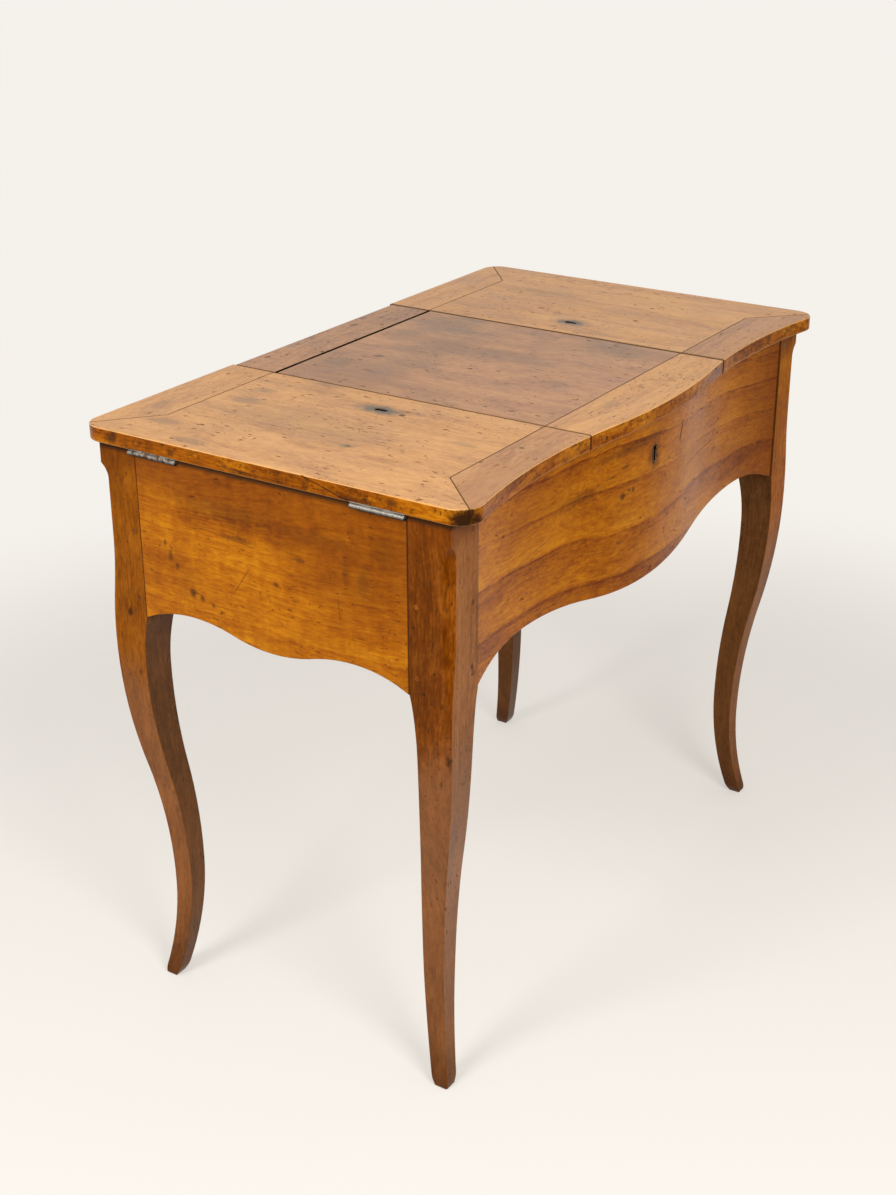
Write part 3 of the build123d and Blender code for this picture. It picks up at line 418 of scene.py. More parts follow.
def wood(name, tones, grain="X", seed=0.0, pith=(0.0, 0.3), tilt=0.0, rings=45.0, ring_depth=0.12, streak=0.5,
         cloud=0.8, curl=0.0, smoke=0.25, dirt=0.0, wear=0.55, gloss=0.36, specular=0.5, marks=(), lines=(),
         shades=()):
    """Waxed old fruitwood with the grain along one axis.

    pith is where the growth rings centre across the grain, tilt is how they lean, rings is how many stand
    in a metre and ring_depth how dark they are. streak, cloud and curl are how strong the fibres, the
    mottling and the cross figure are. smoke is how strong the brown clouds are, dirt is how much old wax
    sticks in blotches, wear is how dark the pits and scratches are, and gloss is the roughness.
    marks are knots, iron stain and painted shade in keyholes, lines are joints, cracks, painted shadows and
    painted highlights, and shades are slow changes along an axis, some a painted reflection.
    """
    make = Finish(name)
    dark, mid, light = (linear(f"{tones}_{depth}") for depth in ("dark", "mid", "light"))
    grime_and_shade = linear("grime_and_shade")
    turn_x, turn_y, turn_z = GRAIN_TURNS[grain]
    own = make.turned(make.place, (turn_x, turn_y + tilt, turn_z))
    plank = make.vector("ADD", own, [seed * share for share in SEED_SPREAD])
    bend = make.vector("ADD", wandering(make, plank, DRIFT, 1.0, DRIFT_REACH),
                       wandering(make, plank, SWAY, 2.0, SWAY_REACH))
    fibre_place = make.vector("ADD", plank, bend)
    late, ring_chance = growth_rings(make, own, bend, pith, rings)
    fibres = make.noise(make.stretched(fibre_place, FIBRES), 1.0, 3.0, 0.75)
    bands = make.noise(make.stretched(fibre_place, BANDS), 1.0, 3.0, 0.6)
    mottle = make.noise(make.stretched(plank, MOTTLE), MOTTLE_SCALE, 5.0, 0.6)
    tufts = make.noise(make.stretched(fibre_place, TUFTS), 1.0, 3.0, 0.75)
    value = make.add(
        centred(make, bands, BAND_SWING * streak), MEAN_TONE, centred(make, fibres, FIBRE_SWING * streak),
        centred(make, mottle, cloud), centred(make, tufts, TUFT_SWING),
        centred(make, ring_chance, RING_SWING * ring_depth),
    )
    value = make.maths("SUBTRACT", value, make.times(late, ring_depth))
    if curl:
        figure = make.noise(make.stretched(fibre_place, CURL), 1.0)
        value = make.add(value, centred(make, figure, curl))
    body = toned(make, value, (dark, mid, light))
    haze = make.noise(make.stretched(plank, HAZE), 1.0, 5.0, 0.6)
    body = make.blend(make.between(haze, *SMOKE_STEP, 0.0, smoke), body, dark)
    for change in shades:
        level = make.add(make.part(make.place, change["axis"]), centred(make, haze, change["wavy"]))
        share = make.between(level, change["low"], change["high"], 0.0, change["strength"])
        tint = linear(change["tint"])
        shaded = toned(make, value, [[c * k for c in tint] for k in (SHADE_DARK, 1.0, SHADE_LIGHT)])
        body = make.blend(share, body, shaded)
    if dirt:
        blotch = make.between(make.noise(plank, DIRT_SCALE, 6.0, 0.75), *DIRT_STEP, 0.0, dirt)
        body = make.blend(blotch, body, grime_and_shade)
    sunk = pitting(make, own, plank, fibre_place)
    body = make.blend(make.times(sunk, wear), body, grime_and_shade)
    wobble = centred(make, make.noise(plank, WOBBLE_SCALE, 6.0, 0.8), WOBBLE_SWING)
    # Lines draw joints and cracks, and also painted shadow under the lids and between them, and painted
    # highlights along the arrises.
    for line in lines:
        cut = line_mask(make, wobble, line)
        body = make.blend(cut, body, linear(line.get("tint", "grime_and_shade")))
        if "tint" not in line:
            sunk = make.most(sunk, cut)
    for mark in marks:
        body = make.blend(mark_mask(make, wobble, mark), body, linear(mark.get("tint", "grime_and_shade")))
    roughness = make.add(centred(make, mottle, MOTTLE_ROUGHNESS), gloss, make.times(sunk, PIT_ROUGHNESS))
    normal = make.relief(make.noise(make.stretched(plank, SWELLS), 1.0, 1.0), SWELL_DEPTH)
    normal = make.relief(fibres, FIBRE_DEPTH, normal)
    normal = make.relief(make.maths("SUBTRACT", 0.0, sunk), PIT_DEPTH, normal)
    return make.surface(body, roughness, normal, Specular_IOR_Level=specular, Specular_Tint=WAX_TINT)


def raw_wood(name, grain, seed):
    """Unpolished wood of a side that hands and wax don't reach."""
    return wood(name, "inner", grain, seed, gloss=0.66, specular=0.15, streak=0.8, wear=0.35)


def edge_wood(name, grain, seed, marks, lines):
    """The darker, greasier edge of a lid, with painted highlights along its arrises."""
    # Painted highlights: a pale line along the lower arris and a paler one along the top arris stand in for
    # light caught there.
    highlit = (joint_and_painted_light_line("Z", CASE_TOP_Z + 0.8 * MM, 1.2 * MM, 0.6, tint="edge_light"),
              joint_and_painted_light_line("Z", TOP_Z - 0.6 * MM, 1.0 * MM, 0.9, tint="arris"))
    return wood(name, "edge", grain, seed, dirt=0.55, cloud=1.2, wear=0.8, gloss=0.24, specular=0.15,
                marks=[*marks, CORNER_GRIME], lines=[*highlit, *lines])


PIT_BLACK = (0.01, 0.009, 0.008, 1.0)
IRON_GRAIN = (160.0, 160.0, 160.0)
RUST_SCALE, RUST_STEP = 180.0, (0.42, 0.62)
PIT_STEP = (0.56, 0.7)
FRONT_RUST = 0.35


def metal(name, base_name, roughness=0.42, rusting=0.5, side_hinges=False):
    """Old ironwork: pitted and browned. The side hinges are less rusty in front and carry a painted shadow
    underneath.
    """
    make = Finish(name)
    base, rust = linear(base_name), linear("rust")
    pits = make.noise(make.stretched(make.place, IRON_GRAIN), 4.0, 5.0, 0.7)
    blotch = make.noise(make.place, RUST_SCALE, 4.0, 0.62)
    share = make.times(make.between(blotch, *RUST_STEP), rusting)
    if side_hinges:
        dull = make.between(make.part(make.place, "Y"), -0.05, 0.05, FRONT_RUST, 1.0)
        share = make.times(share, dull)
    body = make.blend(share, base, rust)
    body = make.blend(make.between(pits, *PIT_STEP, 0.0, 0.35), body, PIT_BLACK)
    # Painted shadow: the lower side of each side hinge's barrel turns near-black.
    if side_hinges:
        below = make.between(make.part(make.place, "Z"), HINGE_Z - 2.2 * MM, HINGE_Z - 0.4 * MM, 0.92, 0.0)
        body = make.blend(below, body, linear("deep_shade"))
    rough = make.add(make.times(share, RUST_ROUGHNESS), roughness)
    normal = make.relief(make.add(pits, blotch), RUST_DEPTH)
    return make.surface(body, rough, normal, Metallic=0.85)


# ------------------------------------------------------------------ piece making
@functools.cache
def surface_tree(node):
    """A CAD node's surface, ready for finding its nearest point."""
    mesh = NODES[node].data
    return BVHTree.FromPolygons([v.co for v in mesh.vertices], [p.vertices for p in mesh.polygons])


def boxes_touch(a, b, margin):
    """True where two boxes come within margin of each other."""
    return all(a[0][i] - margin < b[1][i] and b[0][i] - margin < a[1][i] for i in range(3))


def close_neighbours(node, margin):
    """The surfaces of the nodes whose boxes come within margin of a node's."""
    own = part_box(node)
    others = [n for n in NODES if n != node and boxes_touch(own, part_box(n), margin)]
    return [surface_tree(n) for n in others]


JOINT_REACH = 5.0 * MM
FLAT = math.radians(0.4)
SHARP = math.radians(35)
SQUARE = math.radians(60)
SLIVER = 0.15 * MM**2
FOOT_HEIGHT = 2.9 * MM
SAME_POINT = 1e-6
SAME_CUT = 1e-7


def arris_weights(shape, node, widths):
    """Marks each outward arris with its share of the widest rounding."""
    layer = shape.edges.layers.float.new("bevel_weight_edge")
    trees = close_neighbours(node, JOINT_REACH)
    widest = max(widths)
    worn, joint, blunt = (w / widest for w in widths)
    for edge in shape.edges:
        if edge.calc_face_angle_signed(0.0) < SHARP or min(f.calc_area() for f in edge.link_faces) < SLIVER:
            continue
        if max(v.co.z for v in edge.verts) < FOOT_HEIGHT:
            continue
        middle = (edge.verts[0].co + edge.verts[1].co) / 2
        if any(tree.find_nearest(middle, JOINT_REACH)[0] is not None for tree in trees):
            edge[layer] = joint
        elif edge.calc_face_angle_signed() < SQUARE:
            edge[layer] = blunt
        else:
            edge[layer] = worn
    return widest


FACING = 0.7
OUTWARD = 0.5
UPRIGHT = 0.3
FRONT_SLOPE = 1.5


def one_finish(face):
    """Every face takes the first finish."""
    return 0


def lid_finish(face):
    """Finish of a lid's face: 0 on top, 1 round the edge, 2 underneath."""
    return 0 if face.normal.z > FACING else 2 if face.normal.z < -FACING else 1


def leg_finish(way, end):
    """Finish of a leg's face: 0 outside and on the chamfer, 1 in front or behind, 2 on top and inwards, where
    a darker copy paints shade.
    """

    def finish(face):
        if face.normal.z > FACING:
            return 2
        if face.normal.y * end > FRONT_SLOPE * abs(face.normal.x):
            return 1
        return 0 if face.normal.x * way > OUTWARD else 2

    return finish


def rim_finish(face):
    """Finish of the keyhole lining's face: 0 on the rim, 1 inside, painted near-black as shade."""
    return 0 if face.normal.y < -FACING else 1


def case_finish(face):
    """Finish of a case panel's face: 1 on top and on what looks into the case, 0 elsewhere."""
    middle = face.calc_center_median()
    inward = Vector((middle.x, middle.y, 0.0)).dot(face.normal) < 0.0
    return 1 if face.normal.z > FACING or (inward and abs(face.normal.z) < UPRIGHT) else 0


UP = (0, 0, 1)
SIDEWAYS = (1, 0, 0)
FORE_AND_AFT = (0, 1, 0)
FOOT_CUTS = (3.0 * MM, 6.0 * MM, 9.0 * MM)
FOOT_WEAR = 13.0 * MM
FOOT_INSET = 0.26


def round_foot(shape):
    """Rounds the end of a leg, worn by years of floors: narrower and narrower towards the ground."""
    for height in (*FOOT_CUTS, FOOT_WEAR):
        parts = [*shape.verts, *shape.edges, *shape.faces]
        bmesh.ops.bisect_plane(shape, geom=parts, dist=SAME_CUT, plane_co=(0, 0, height), plane_no=UP)
    low = [v for v in shape.verts if v.co.z < FOOT_WEAR - 0.01 * MM]
    middle = sum((v.co for v in low), Vector()) / len(low)
    for vertex in low:
        share = 1.0 - FOOT_INSET * (1.0 - vertex.co.z / FOOT_WEAR) ** 2
        vertex.co.x = middle.x + (vertex.co.x - middle.x) * share
        vertex.co.y = middle.y + (vertex.co.y - middle.y) * share


def new_object(name, data):
    """A new object in the scene."""
    thing = bpy.data.objects.new(name, data)
    bpy.context.scene.collection.objects.link(thing)
    return thing


def worked_copy(node, widths, segments=2, sort=one_finish, mend=None):
    """A copy of a CAD piece: doubles merged, flats joined, arrises rounded by hand wear."""
    shape = bmesh.new()
    shape.from_mesh(NODES[node].data)
    bmesh.ops.remove_doubles(shape, verts=shape.verts, dist=SAME_POINT)
    bmesh.ops.dissolve_limit(shape, angle_limit=FLAT, verts=shape.verts, edges=shape.edges)
    if mend:
        mend(shape)
    widest = arris_weights(shape, node, widths)
    for face in shape.faces:
        face.smooth = True
        face.material_index = sort(face)
    mesh = bpy.data.meshes.new(f"{node}_worked")
    shape.to_mesh(mesh)
    shape.free()
    mesh.set_sharp_from_angle(angle=SHARP)
    piece = new_object(f"{node}_worked", mesh)
    rounding = piece.modifiers.new("Arrises", "BEVEL")
    rounding.width = widest
    rounding.segments = segments
    rounding.limit_method = "WEIGHT"
    rounding.use_clamp_overlap = False
    rounding.harden_normals = False
    shading = piece.modifiers.new("Shading", "WEIGHTED_NORMAL")
    shading.keep_sharp = True
    stand_for(piece, node)
    return piece


def stand_for(piece, node):
    """The piece replaces a CAD node: the node is hidden and the piece goes on its body."""
    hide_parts(node)
    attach(piece, BODY_OF[node])


def dress(thing, *materials):
    """Gives a piece its finishes in order, or a CAD node one finish in all its slots."""
    slots = thing.data.materials
    while len(slots) < len(materials):
        slots.append(materials[0])
    for i in range(len(slots)):
        slots[i] = materials[min(i, len(materials) - 1)]


def wooden(node, *materials, sort=one_finish, mend=None):
    """A wooden piece, worn rounder where it is touched than at its joints."""
    s = sizes()
    piece = worked_copy(node, (s.worn_arris, s.joint_arris, s.blunt_arris), s.arris_segments, sort, mend)
    dress(piece, *materials)


def iron_piece(node, *materials, sort=one_finish):
    """A piece of ironwork with one small rounding all over."""
    piece = worked_copy(node, (sizes().metal_arris,) * 3, sort=sort)
    dress(piece, *materials)


LID_TOP = 720


def joint_and_painted_light_line(axis, position, width=1.3 * MM, strength=0.85, above=None, **more):
    """A line across one axis, all over or only above a height: joints, and also painted shadows and painted
    highlights.
    """
    line = {"normal": Vector([float(a == axis) for a in "XYZ"]), "offset": position, "width": width,
            "strength": strength, **more}
    if above is not None:
        line.update(along=Vector(UP), start=above, stop=1.0)
    return line


def crack(first, last, facing, width, strength, waver=0.0):
    """A line from one point to another, in millimetres, on a face that looks along facing."""
    first, last = Vector(first) * MM, Vector(last) * MM
    run = (last - first).normalized()
    normal = run.cross(Vector(facing)).normalized()
    return {"normal": normal, "offset": normal.dot(first), "width": width * MM, "strength": strength,
            "waver": waver * MM, "along": run, "start": run.dot(first), "stop": run.dot(last)}


def shade(axis, low, high, tint, strength, wavy=0.0):
    """A slow change of colour between two places along an axis."""
    return {"axis": axis, "low": low, "high": high, "tint": tint, "strength": strength, "wavy": wavy}


def spot(x, y, z, size, strength=0.8, **more):
    """A stain, knot or plug, with its place and size in millimetres."""
    if not isinstance(size, tuple):
        size = (size,) * 3
    return {"at": Vector((x, y, z)) * MM, "size": Vector(size) * MM, "strength": strength, **more}


def stain(x, y, size, strength, **more):
    """An ink-grey stain on the lids' top."""
    return spot(x, y, LID_TOP, size, strength, tint="stain", **more)


# ------------------------------------------------------------------ places of the wear, the painted shade and the painted highlights
FRONT_BAND_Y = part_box("middle_lid_front_rail")[1].y
REAR_BAND_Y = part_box("rear_rail")[0].y
MITRE_STARTS = ((355, FRONT_BAND_Y / MM), (355, REAR_BAND_Y / MM))
LID_CORNERS = ((428, -254), (428, 252))
LID_GAP_X = (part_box("middle_lid_panel")[1].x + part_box("right_flap_board")[0].x) / 2
REAR_GAP_Y = (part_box("middle_lid_panel")[1].y + REAR_BAND_Y) / 2
KEY_X = 214.5
KEY_Y = 1.0
# Painted shadow under the lids' edges, with some dirt in the crevice; the line is laid twice to darken it.
LID_SHADOW_AND_DIRT = [joint_and_painted_light_line("Z", CASE_TOP_Z, 9.5 * MM, 1.0)] * 2
CORNER_GRIME = spot(-424, -248, 709, (31, 31, 19), 0.98, core=0.35)

LEG_SHEEN = {"leg": 0.2, "highlit": 0.2, "amber": 0.1, "side": 0.03}
LEG_MARKS = {
    "front_left": (
        spot(-384, -226, 533, (4, 6, 6)), spot(-436, -226, 574, 2.5), spot(-421, -226, 585, 3),
        spot(-423, -181, 581, 2.5), spot(-423, -206, 535, 2.5), spot(-423, -193, 509, 3),
        spot(-420, -222, 440, (5, 5, 12), 0.7), spot(-415, -215, 395, (3, 3, 6)),
    ),
    "rear_left": (spot(-423, 204, 504, (6, 5, 7)), spot(-382, 191, 454, (3, 3, 5)), spot(-423, 196, 430, 3)),
}
SIDE_MARKS = (
    spot(-423, 144, 602, (6, 3, 6), 0.7), spot(-423, 137, 588, (6, 5, 10), 0.6),
    spot(-423, 128, 577, (6, 4, 6), 0.6), spot(-423, 108, 550, (8, 7, 9)),
    spot(-423, 95, 546, (6, 5, 6), 0.7), spot(-423, 80, 542, (6, 3, 5), 0.6),
    spot(-423, -8, 587, (6, 5, 4), 0.6), spot(-423, 40, 628, (6, 30, 5), 0.4),
    spot(-423, -40, 622, (6, 12, 4), 0.5), spot(-423, 120, 565, (6, 34, 34), 0.3, tint="side_dark"),
    spot(-423, -150, 655, (6, 30, 30), 0.3, tint="leg_dark"),
    spot(-423, 60, 655, (6, 90, 16), 0.35, tint="leg_dark"),
    spot(-423, -60, 650, (6, 80, 12), 0.3, tint="leg_dark"),
    spot(-423, -120, 615, (6, 10, 26), 0.3), spot(-423, -98, 622, (6, 6, 20), 0.25),
)
SIDE_CRACKS = (
    crack((-423, 28, 596), (-423, 50, 564), SIDEWAYS, 1.1, 0.55),
    crack((-423, 93, 630), (-423, 20, 622), SIDEWAYS, 1.2, 0.5, 3),
    crack((-423, -88, 590), (-423, -90, 568), SIDEWAYS, 1.0, 0.5),
)
FRONT_MARKS = (
    spot(0, -232, 650, (20, 14, 27), 0.6, tint="leg_dark"), spot(0, -232, 650, (8, 14, 14), 0.9, core=0.75),
    spot(-71, -230, 619, (8, 9, 6), 0.7), spot(-49, -232, 621, (5, 9, 5), 0.7),
    spot(-67, -230, 653, (14, 9, 3), 0.6), spot(-95, -230, 648, (16, 9, 3), 0.5),
    spot(30, -232, 614, (3, 8, 4), 0.6), spot(198, -216, 594, (10, 9, 4), 0.5),
    spot(334, -226, 541, (4, 9, 4), 0.6), spot(-160, -222, 640, (70, 20, 10), 0.45, tint="leg_dark"),
    spot(-50, -228, 672, (110, 20, 9), 0.5, tint="leg_dark"),
)
FRONT_CRACKS = (
    crack((79, -230, 667), (71, -230, 645), FORE_AND_AFT, 2.8, 0.95),
    crack((-300, -230, 600), (-210, -230, 612), FORE_AND_AFT, 1.2, 0.5, 3),
    crack((100, -230, 604), (190, -230, 608), FORE_AND_AFT, 1.2, 0.5, 3),
)
BOARD_MARKS = {
    "left": (
        stain(-333, -38, (9, 13, 9), 0.55), spot(-333, -40, 720, (3, 5, 4), 0.8),
        spot(-185, 42, 720, 3, 0.9), spot(-204, -42, 720, 3, 0.8), spot(-283, -7, 720, (3, 9, 3), 0.6),
        stain(-226, 155, (12, 20, 12), 0.4), stain(-268, 150, (16, 30, 12), 0.4),
        stain(-374, 180, (14, 30, 12), 0.4), stain(-409, 111, (12, 30, 12), 0.45),
        stain(-170, 103, (12, 30, 12), 0.4), stain(-263, -140, (8, 26, 12), 0.3),
        stain(-300, 40, (60, 150, 12), 0.22), spot(-428, 207, 712, (8, 14, 10), 0.6),
        spot(-428, 123, 710, (6, 6, 5), 0.6), spot(-428, -110, 706, (8, 14, 8), 0.4),
        spot(-428, -160, 712, (6, 12, 6), 0.6), spot(-428, 30, 706, (6, 20, 4), 0.5),
    ),
    "right": (
        spot(314, 156, 720, 3, 0.7), spot(255, 72, 720, 3), spot(257, 59, 720, 3),
        stain(330, 100, (30, 80, 12), 0.25), spot(240, 40, 720, (3, 4, 3), 0.6),
    ),
}
EDGE_CRACKS = (
    crack((-428, -50, 719), (-428, -108, 703), SIDEWAYS, 1.3, 0.95, 2),
    crack((-428, 60, 708), (-428, -30, 706), SIDEWAYS, 1.2, 0.6, 3),
)
BAND_MARKS = {
    "left_front": (spot(-240, -196, 720, (4, 5, 5)),),
    "left_rear": (spot(-410, 215, 716, (16, 20, 12), 0.5), stain(-330, 222, (26, 10, 12), 0.3)),
}
PANEL_MARKS = (
    spot(-141, -124, 720, (5, 6, 5), 0.7), spot(-44, 124, 720, (7, 9, 6), 0.7),
    spot(-100, 100, 720, (5, 12, 5), 0.5),
    stain(62, 149, (20, 40, 10), 0.4), stain(-90, 150, (26, 34, 10), 0.45),
    stain(120, 130, (60, 70, 10), 0.4), stain(130, -110, (50, 80, 10), 0.4),
    spot(11, -72, 720, (2, 12, 3), 0.7), stain(40, -20, (30, 90, 10), 0.25),
    stain(0, 80, (160, 50, 10), 0.25),
)
PANEL_CRACKS = (
    crack((-11, 182, 720), (2, 60, 720), UP, 0.9, 0.5, 2),
    crack((-118, 166, 720), (-112, 140, 720), UP, 1.2, 0.6),
)
RAIL_MARKS = (spot(20, -200, 720, (10, 4, 4), 0.5), stain(-60, -205, (30, 12, 6), 0.25))
RAIL_CRACKS = (
    crack((46, -193, 720), (58, -228, 720), UP, 1.2, 0.6),
    crack((58, -228, 720), (64, -214, 720), UP, 1.2, 0.6),
)
REAR_RAIL_MARKS = (
    spot(131, 233, 720, 3.5, 0.9), spot(131, 225, 720, 3.5, 0.9), spot(54, 231, 720, (12, 5, 5), 0.8),
    spot(88, 240, 720, (10, 4, 4), 0.7), spot(-120, 235, 720, (6, 5, 5), 0.6),
)


# ------------------------------------------------------------------ operators
class POUDREUSE_OT_legs(bpy.types.Operator):
    """Round the arrises of the four legs, wax them and darken their joints' pegs"""

    bl_idname = "poudreuse.legs"
    bl_label = "Legs"

    def execute(self, context):
        foot = shade("Z", 0.08, 0.0, "leg_dark", 0.6, 0.06)
        under_top = shade("Z", 0.655, 0.69, "leg_mid", 0.6, 0.05)
        # Below the knee the legs turn paler, a painted reflection of the floor; the inward faces do too.
        shades = (under_top, shade("Z", 0.47, 0.38, "leg_low_floor_reflection", 0.8, 0.2), foot)
        inner_shades = (shade("Z", 0.40, 0.25, "low_shaded", 0.8, 0.2), foot)
        looks = {"rings": 90.0, "cloud": 0.9, "smoke": 0.5, "gloss": 0.26}
        # Painted shade: the inward faces take a darker copy of the leg.
        inside = wood("leg_shaded_inside_wood", "shaded", "Z", 7.7, pith=(0.0, 0.1), specular=0.15,
                      shades=inner_shades, **looks)
        joint_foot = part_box("left_side_panel")[0].z
        # The front-left leg's front takes the paler copy that paints its sheen.
        tones = {"front_left": ("leg", "highlit"), "front_right": ("leg", "side"),
                 "rear_left": ("amber", "leg"), "rear_right": ("amber", "leg")}
        for n, (end, y) in enumerate((("front", FRONT_JOINT_Y), ("rear", REAR_JOINT_Y))):
            for m, side in enumerate(("left", "right")):
                way, leg = m * 2 - 1, f"{end}_{side}"
                # Joint lines at the panels, and the painted shadow under the lid.
                lines = [joint_and_painted_light_line("Y", y, above=joint_foot), joint_and_painted_light_line("X", way * LEG_INNER_X, above=joint_foot),
                         *LID_SHADOW_AND_DIRT]
                outer, face = (
                    wood(f"{leg}_leg_{part}", tone, "Z", 3.1 + n + m * 0.5, pith=(y * 0.5, 0.1), lines=lines,
                         specular=LEG_SHEEN[tone], shades=shades, marks=LEG_MARKS.get(leg, ()), **looks)
                    for part, tone in zip(("outer", "face"), tones[leg])
                )
                wooden(f"{leg}_leg", outer, face, inside, sort=leg_finish(way, n * 2 - 1), mend=round_foot)
        dress(NODES["joint_pegs"], wood("peg_wood", "leg", "X", 2.0))
        return {"FINISHED"}


class POUDREUSE_OT_case_panels(bpy.types.Operator):
    """Finish the serpentine front and the two side panels"""

    bl_idname = "poudreuse.case_panels"
    bl_label = "Front and sides"

    def execute(self, context):
        # Besides their joint lines, the front and the sides carry the painted shadow under the lid.
        ends = [joint_and_painted_light_line("X", -LEG_INNER_X), joint_and_painted_light_line("X", LEG_INNER_X, 3.2 * MM, 0.9)]
        front = wood("front_panel_wood", "side", "X", 11.3, pith=(-0.15, 0.30), tilt=-0.06, rings=21.0,
                     ring_depth=0.3, cloud=0.5, smoke=0.3, gloss=0.22, specular=0.13,
                     shades=[shade("X", 0.20, 0.38, "side_dark", 0.75, 0.2)], marks=FRONT_MARKS,
                     lines=[*LID_SHADOW_AND_DIRT, *ends, *FRONT_CRACKS])
        wooden("front_panel", front, raw_wood("front_inside", "X", 12.0), sort=case_finish)
        ends = [joint_and_painted_light_line("Y", FRONT_JOINT_Y, 2.4 * MM, 0.95), joint_and_painted_light_line("Y", REAR_JOINT_Y)]
        shades = [shade("Z", 0.61, 0.67, "side_dark", 0.7, 0.15)]
        wear = ((SIDE_MARKS, SIDE_CRACKS), ((), ()))
        for n, (side, (marks, cracks)) in enumerate(zip(("left", "right"), wear)):
            finish = wood(f"{side}_side_wood", "side", "Y", 5.7 + 4 * n, pith=(0.4, 0.1), rings=30.0,
                          curl=0.3, smoke=0.4, specular=0.3, shades=shades, marks=marks,
                          lines=[*LID_SHADOW_AND_DIRT, *ends, *cracks])
            wooden(f"{side}_side_panel", finish, raw_wood(f"{side}_inside", "Y", 8.0 + n), sort=case_finish)
        return {"FINISHED"}


class POUDREUSE_OT_flaps(bpy.types.Operator):
    """Finish the boards and bands of the two outer flaps"""

    bl_idname = "poudreuse.flaps"
    bl_label = "Flaps"

    def execute(self, context):
        for n, side in enumerate(("left", "right")):
            way = 2 * n - 1
            # The line at the gap beside the middle lid is painted shade; the mitre lines are real joints.
            joints = [joint_and_painted_light_line("X", way * LID_GAP_X, (2.8 + n * 2.4) * MM, 0.95)]
            for (x, y), (corner_x, corner_y) in zip(MITRE_STARTS, LID_CORNERS):
                joints.append(crack((-x, y, 0), (x, y, 0), UP, 1.3, 1.0))
                joints.append(crack((way * x, y, 0), (way * corner_x, corner_y, 0), UP, 1.3, 1.0))
            key = way * KEY_X
            key_stains_and_shade = [
                stain(key, KEY_Y, (20, 46 - n * 10, 12), 0.7),
                stain(key, KEY_Y, (13, 24, 12), 0.85, core=0.5),
                # Painted shade: near-black in the keyhole.
                spot(key, KEY_Y, 720, (5, 11, 12), 1.0, tint="deep_shade", core=0.7),
            ]
            marks = [*key_stains_and_shade, *BOARD_MARKS[side]]
            edge_lines = [*joints, *(EDGE_CRACKS if n == 0 else ())]
            pith = (-way * 0.25, 0.45)
            wooden(
                f"{side}_flap_board",
                wood(f"{side}_flap_wood", "lid", "Y", 21.0 + 3 * n, pith=pith, wear=0.75, marks=marks,
                     lines=joints),
                edge_wood(f"{side}_flap_edge", "Y", 22.0 + n, marks, edge_lines),
                raw_wood(f"{side}_flap_under", "Y", 24.0 + n),
                sort=lid_finish,
            )
            for m, end in enumerate(("front", "rear")):
                marks = BAND_MARKS.get(f"{side}_{end}", ())
                wooden(
                    f"{side}_flap_{end}_band",
                    wood(f"{side}_{end}_band_wood", "lid" if end == "rear" else "band", "X", 31.0 + 2 * n + m,
                         smoke=0.25 - 0.15 * n, marks=marks, lines=joints),
                    edge_wood(f"{side}_{end}_band_edge", "X", 35.0 + n, marks, joints),
                    raw_wood(f"{side}_{end}_band_under", "X", 37.0 + n),
                    sort=lid_finish,
                )
        return {"FINISHED"}


class POUDREUSE_OT_middle_lid(bpy.types.Operator):
    """Finish the middle lid with its front rail, and the fixed rail behind it"""

    bl_idname = "poudreuse.middle_lid"
    bl_label = "Middle lid and rear rail"

    def execute(self, context):
        joint = joint_and_painted_light_line("Y", FRONT_BAND_Y, strength=1.0)
        # Painted shade along the gap beside each flap, and near-black painted shade in the gap behind the
        # panel and down its sides.
        gap_shadows = [joint_and_painted_light_line("X", LID_GAP_X, 5.0 * MM, 0.95), joint_and_painted_light_line("X", -LID_GAP_X, 2.8 * MM, 0.95)]
        rear_gap_shadow = joint_and_painted_light_line("Y", REAR_GAP_Y, 4.0 * MM, 1.0, tint="deep_shade")
        rear_gap_deep_shadow = joint_and_painted_light_line("Y", REAR_GAP_Y, 14.0 * MM, 1.0, tint="deep_shade")
        panel = wood("middle_panel_wood", "centre", "Y", 41.0, pith=(0.02, 0.6), rings=60.0, cloud=1.2,
                     smoke=0.45, wear=0.7, lines=[joint, *gap_shadows, rear_gap_shadow, *PANEL_CRACKS], marks=PANEL_MARKS)
        rail = wood("front_rail_wood", "lid", "X", 43.5, cloud=0.6, smoke=0.0, wear=0.7, marks=RAIL_MARKS,
                    lines=[joint, *gap_shadows, *RAIL_CRACKS])
        rear = wood("rear_rail_wood", "centre", "X", 47.0, smoke=0.4, dirt=0.25, lines=gap_shadows,
                    marks=REAR_RAIL_MARKS)
        finishes = {"middle_lid_panel": panel, "middle_lid_front_rail": rail, "rear_rail": rear}
        for n, (node, finish) in enumerate(finishes.items()):
            edge = edge_wood(f"{node}_edge", "X", 44.0 + n, (), [joint, *gap_shadows, rear_gap_shadow, rear_gap_deep_shadow])
            under = raw_wood(f"{node}_under", "Y" if n == 0 else "X", 48.0 + n)
            wooden(node, finish, edge, under, sort=lid_finish)
        return {"FINISHED"}


class POUDREUSE_OT_carcass(bpy.types.Operator):
    """Finish the unpolished boards behind and inside"""

    bl_idname = "poudreuse.carcass"
    bl_label = "Inner boards"

    def execute(self, context):
        runs = {"X": ("back_panel", "bottom_board", "back_batten"), "Y": ("left_batten", "right_batten")}
        for grain, nodes in runs.items():
            for n, node in enumerate(nodes):
                wooden(node, raw_wood(f"{node}_wood", grain, 51.0 + n))
        for n, node in enumerate(("left_partition", "right_partition")):
            dress(NODES[node], raw_wood(f"{node}_wood", "Y", 53.0 + n))
        return {"FINISHED"}


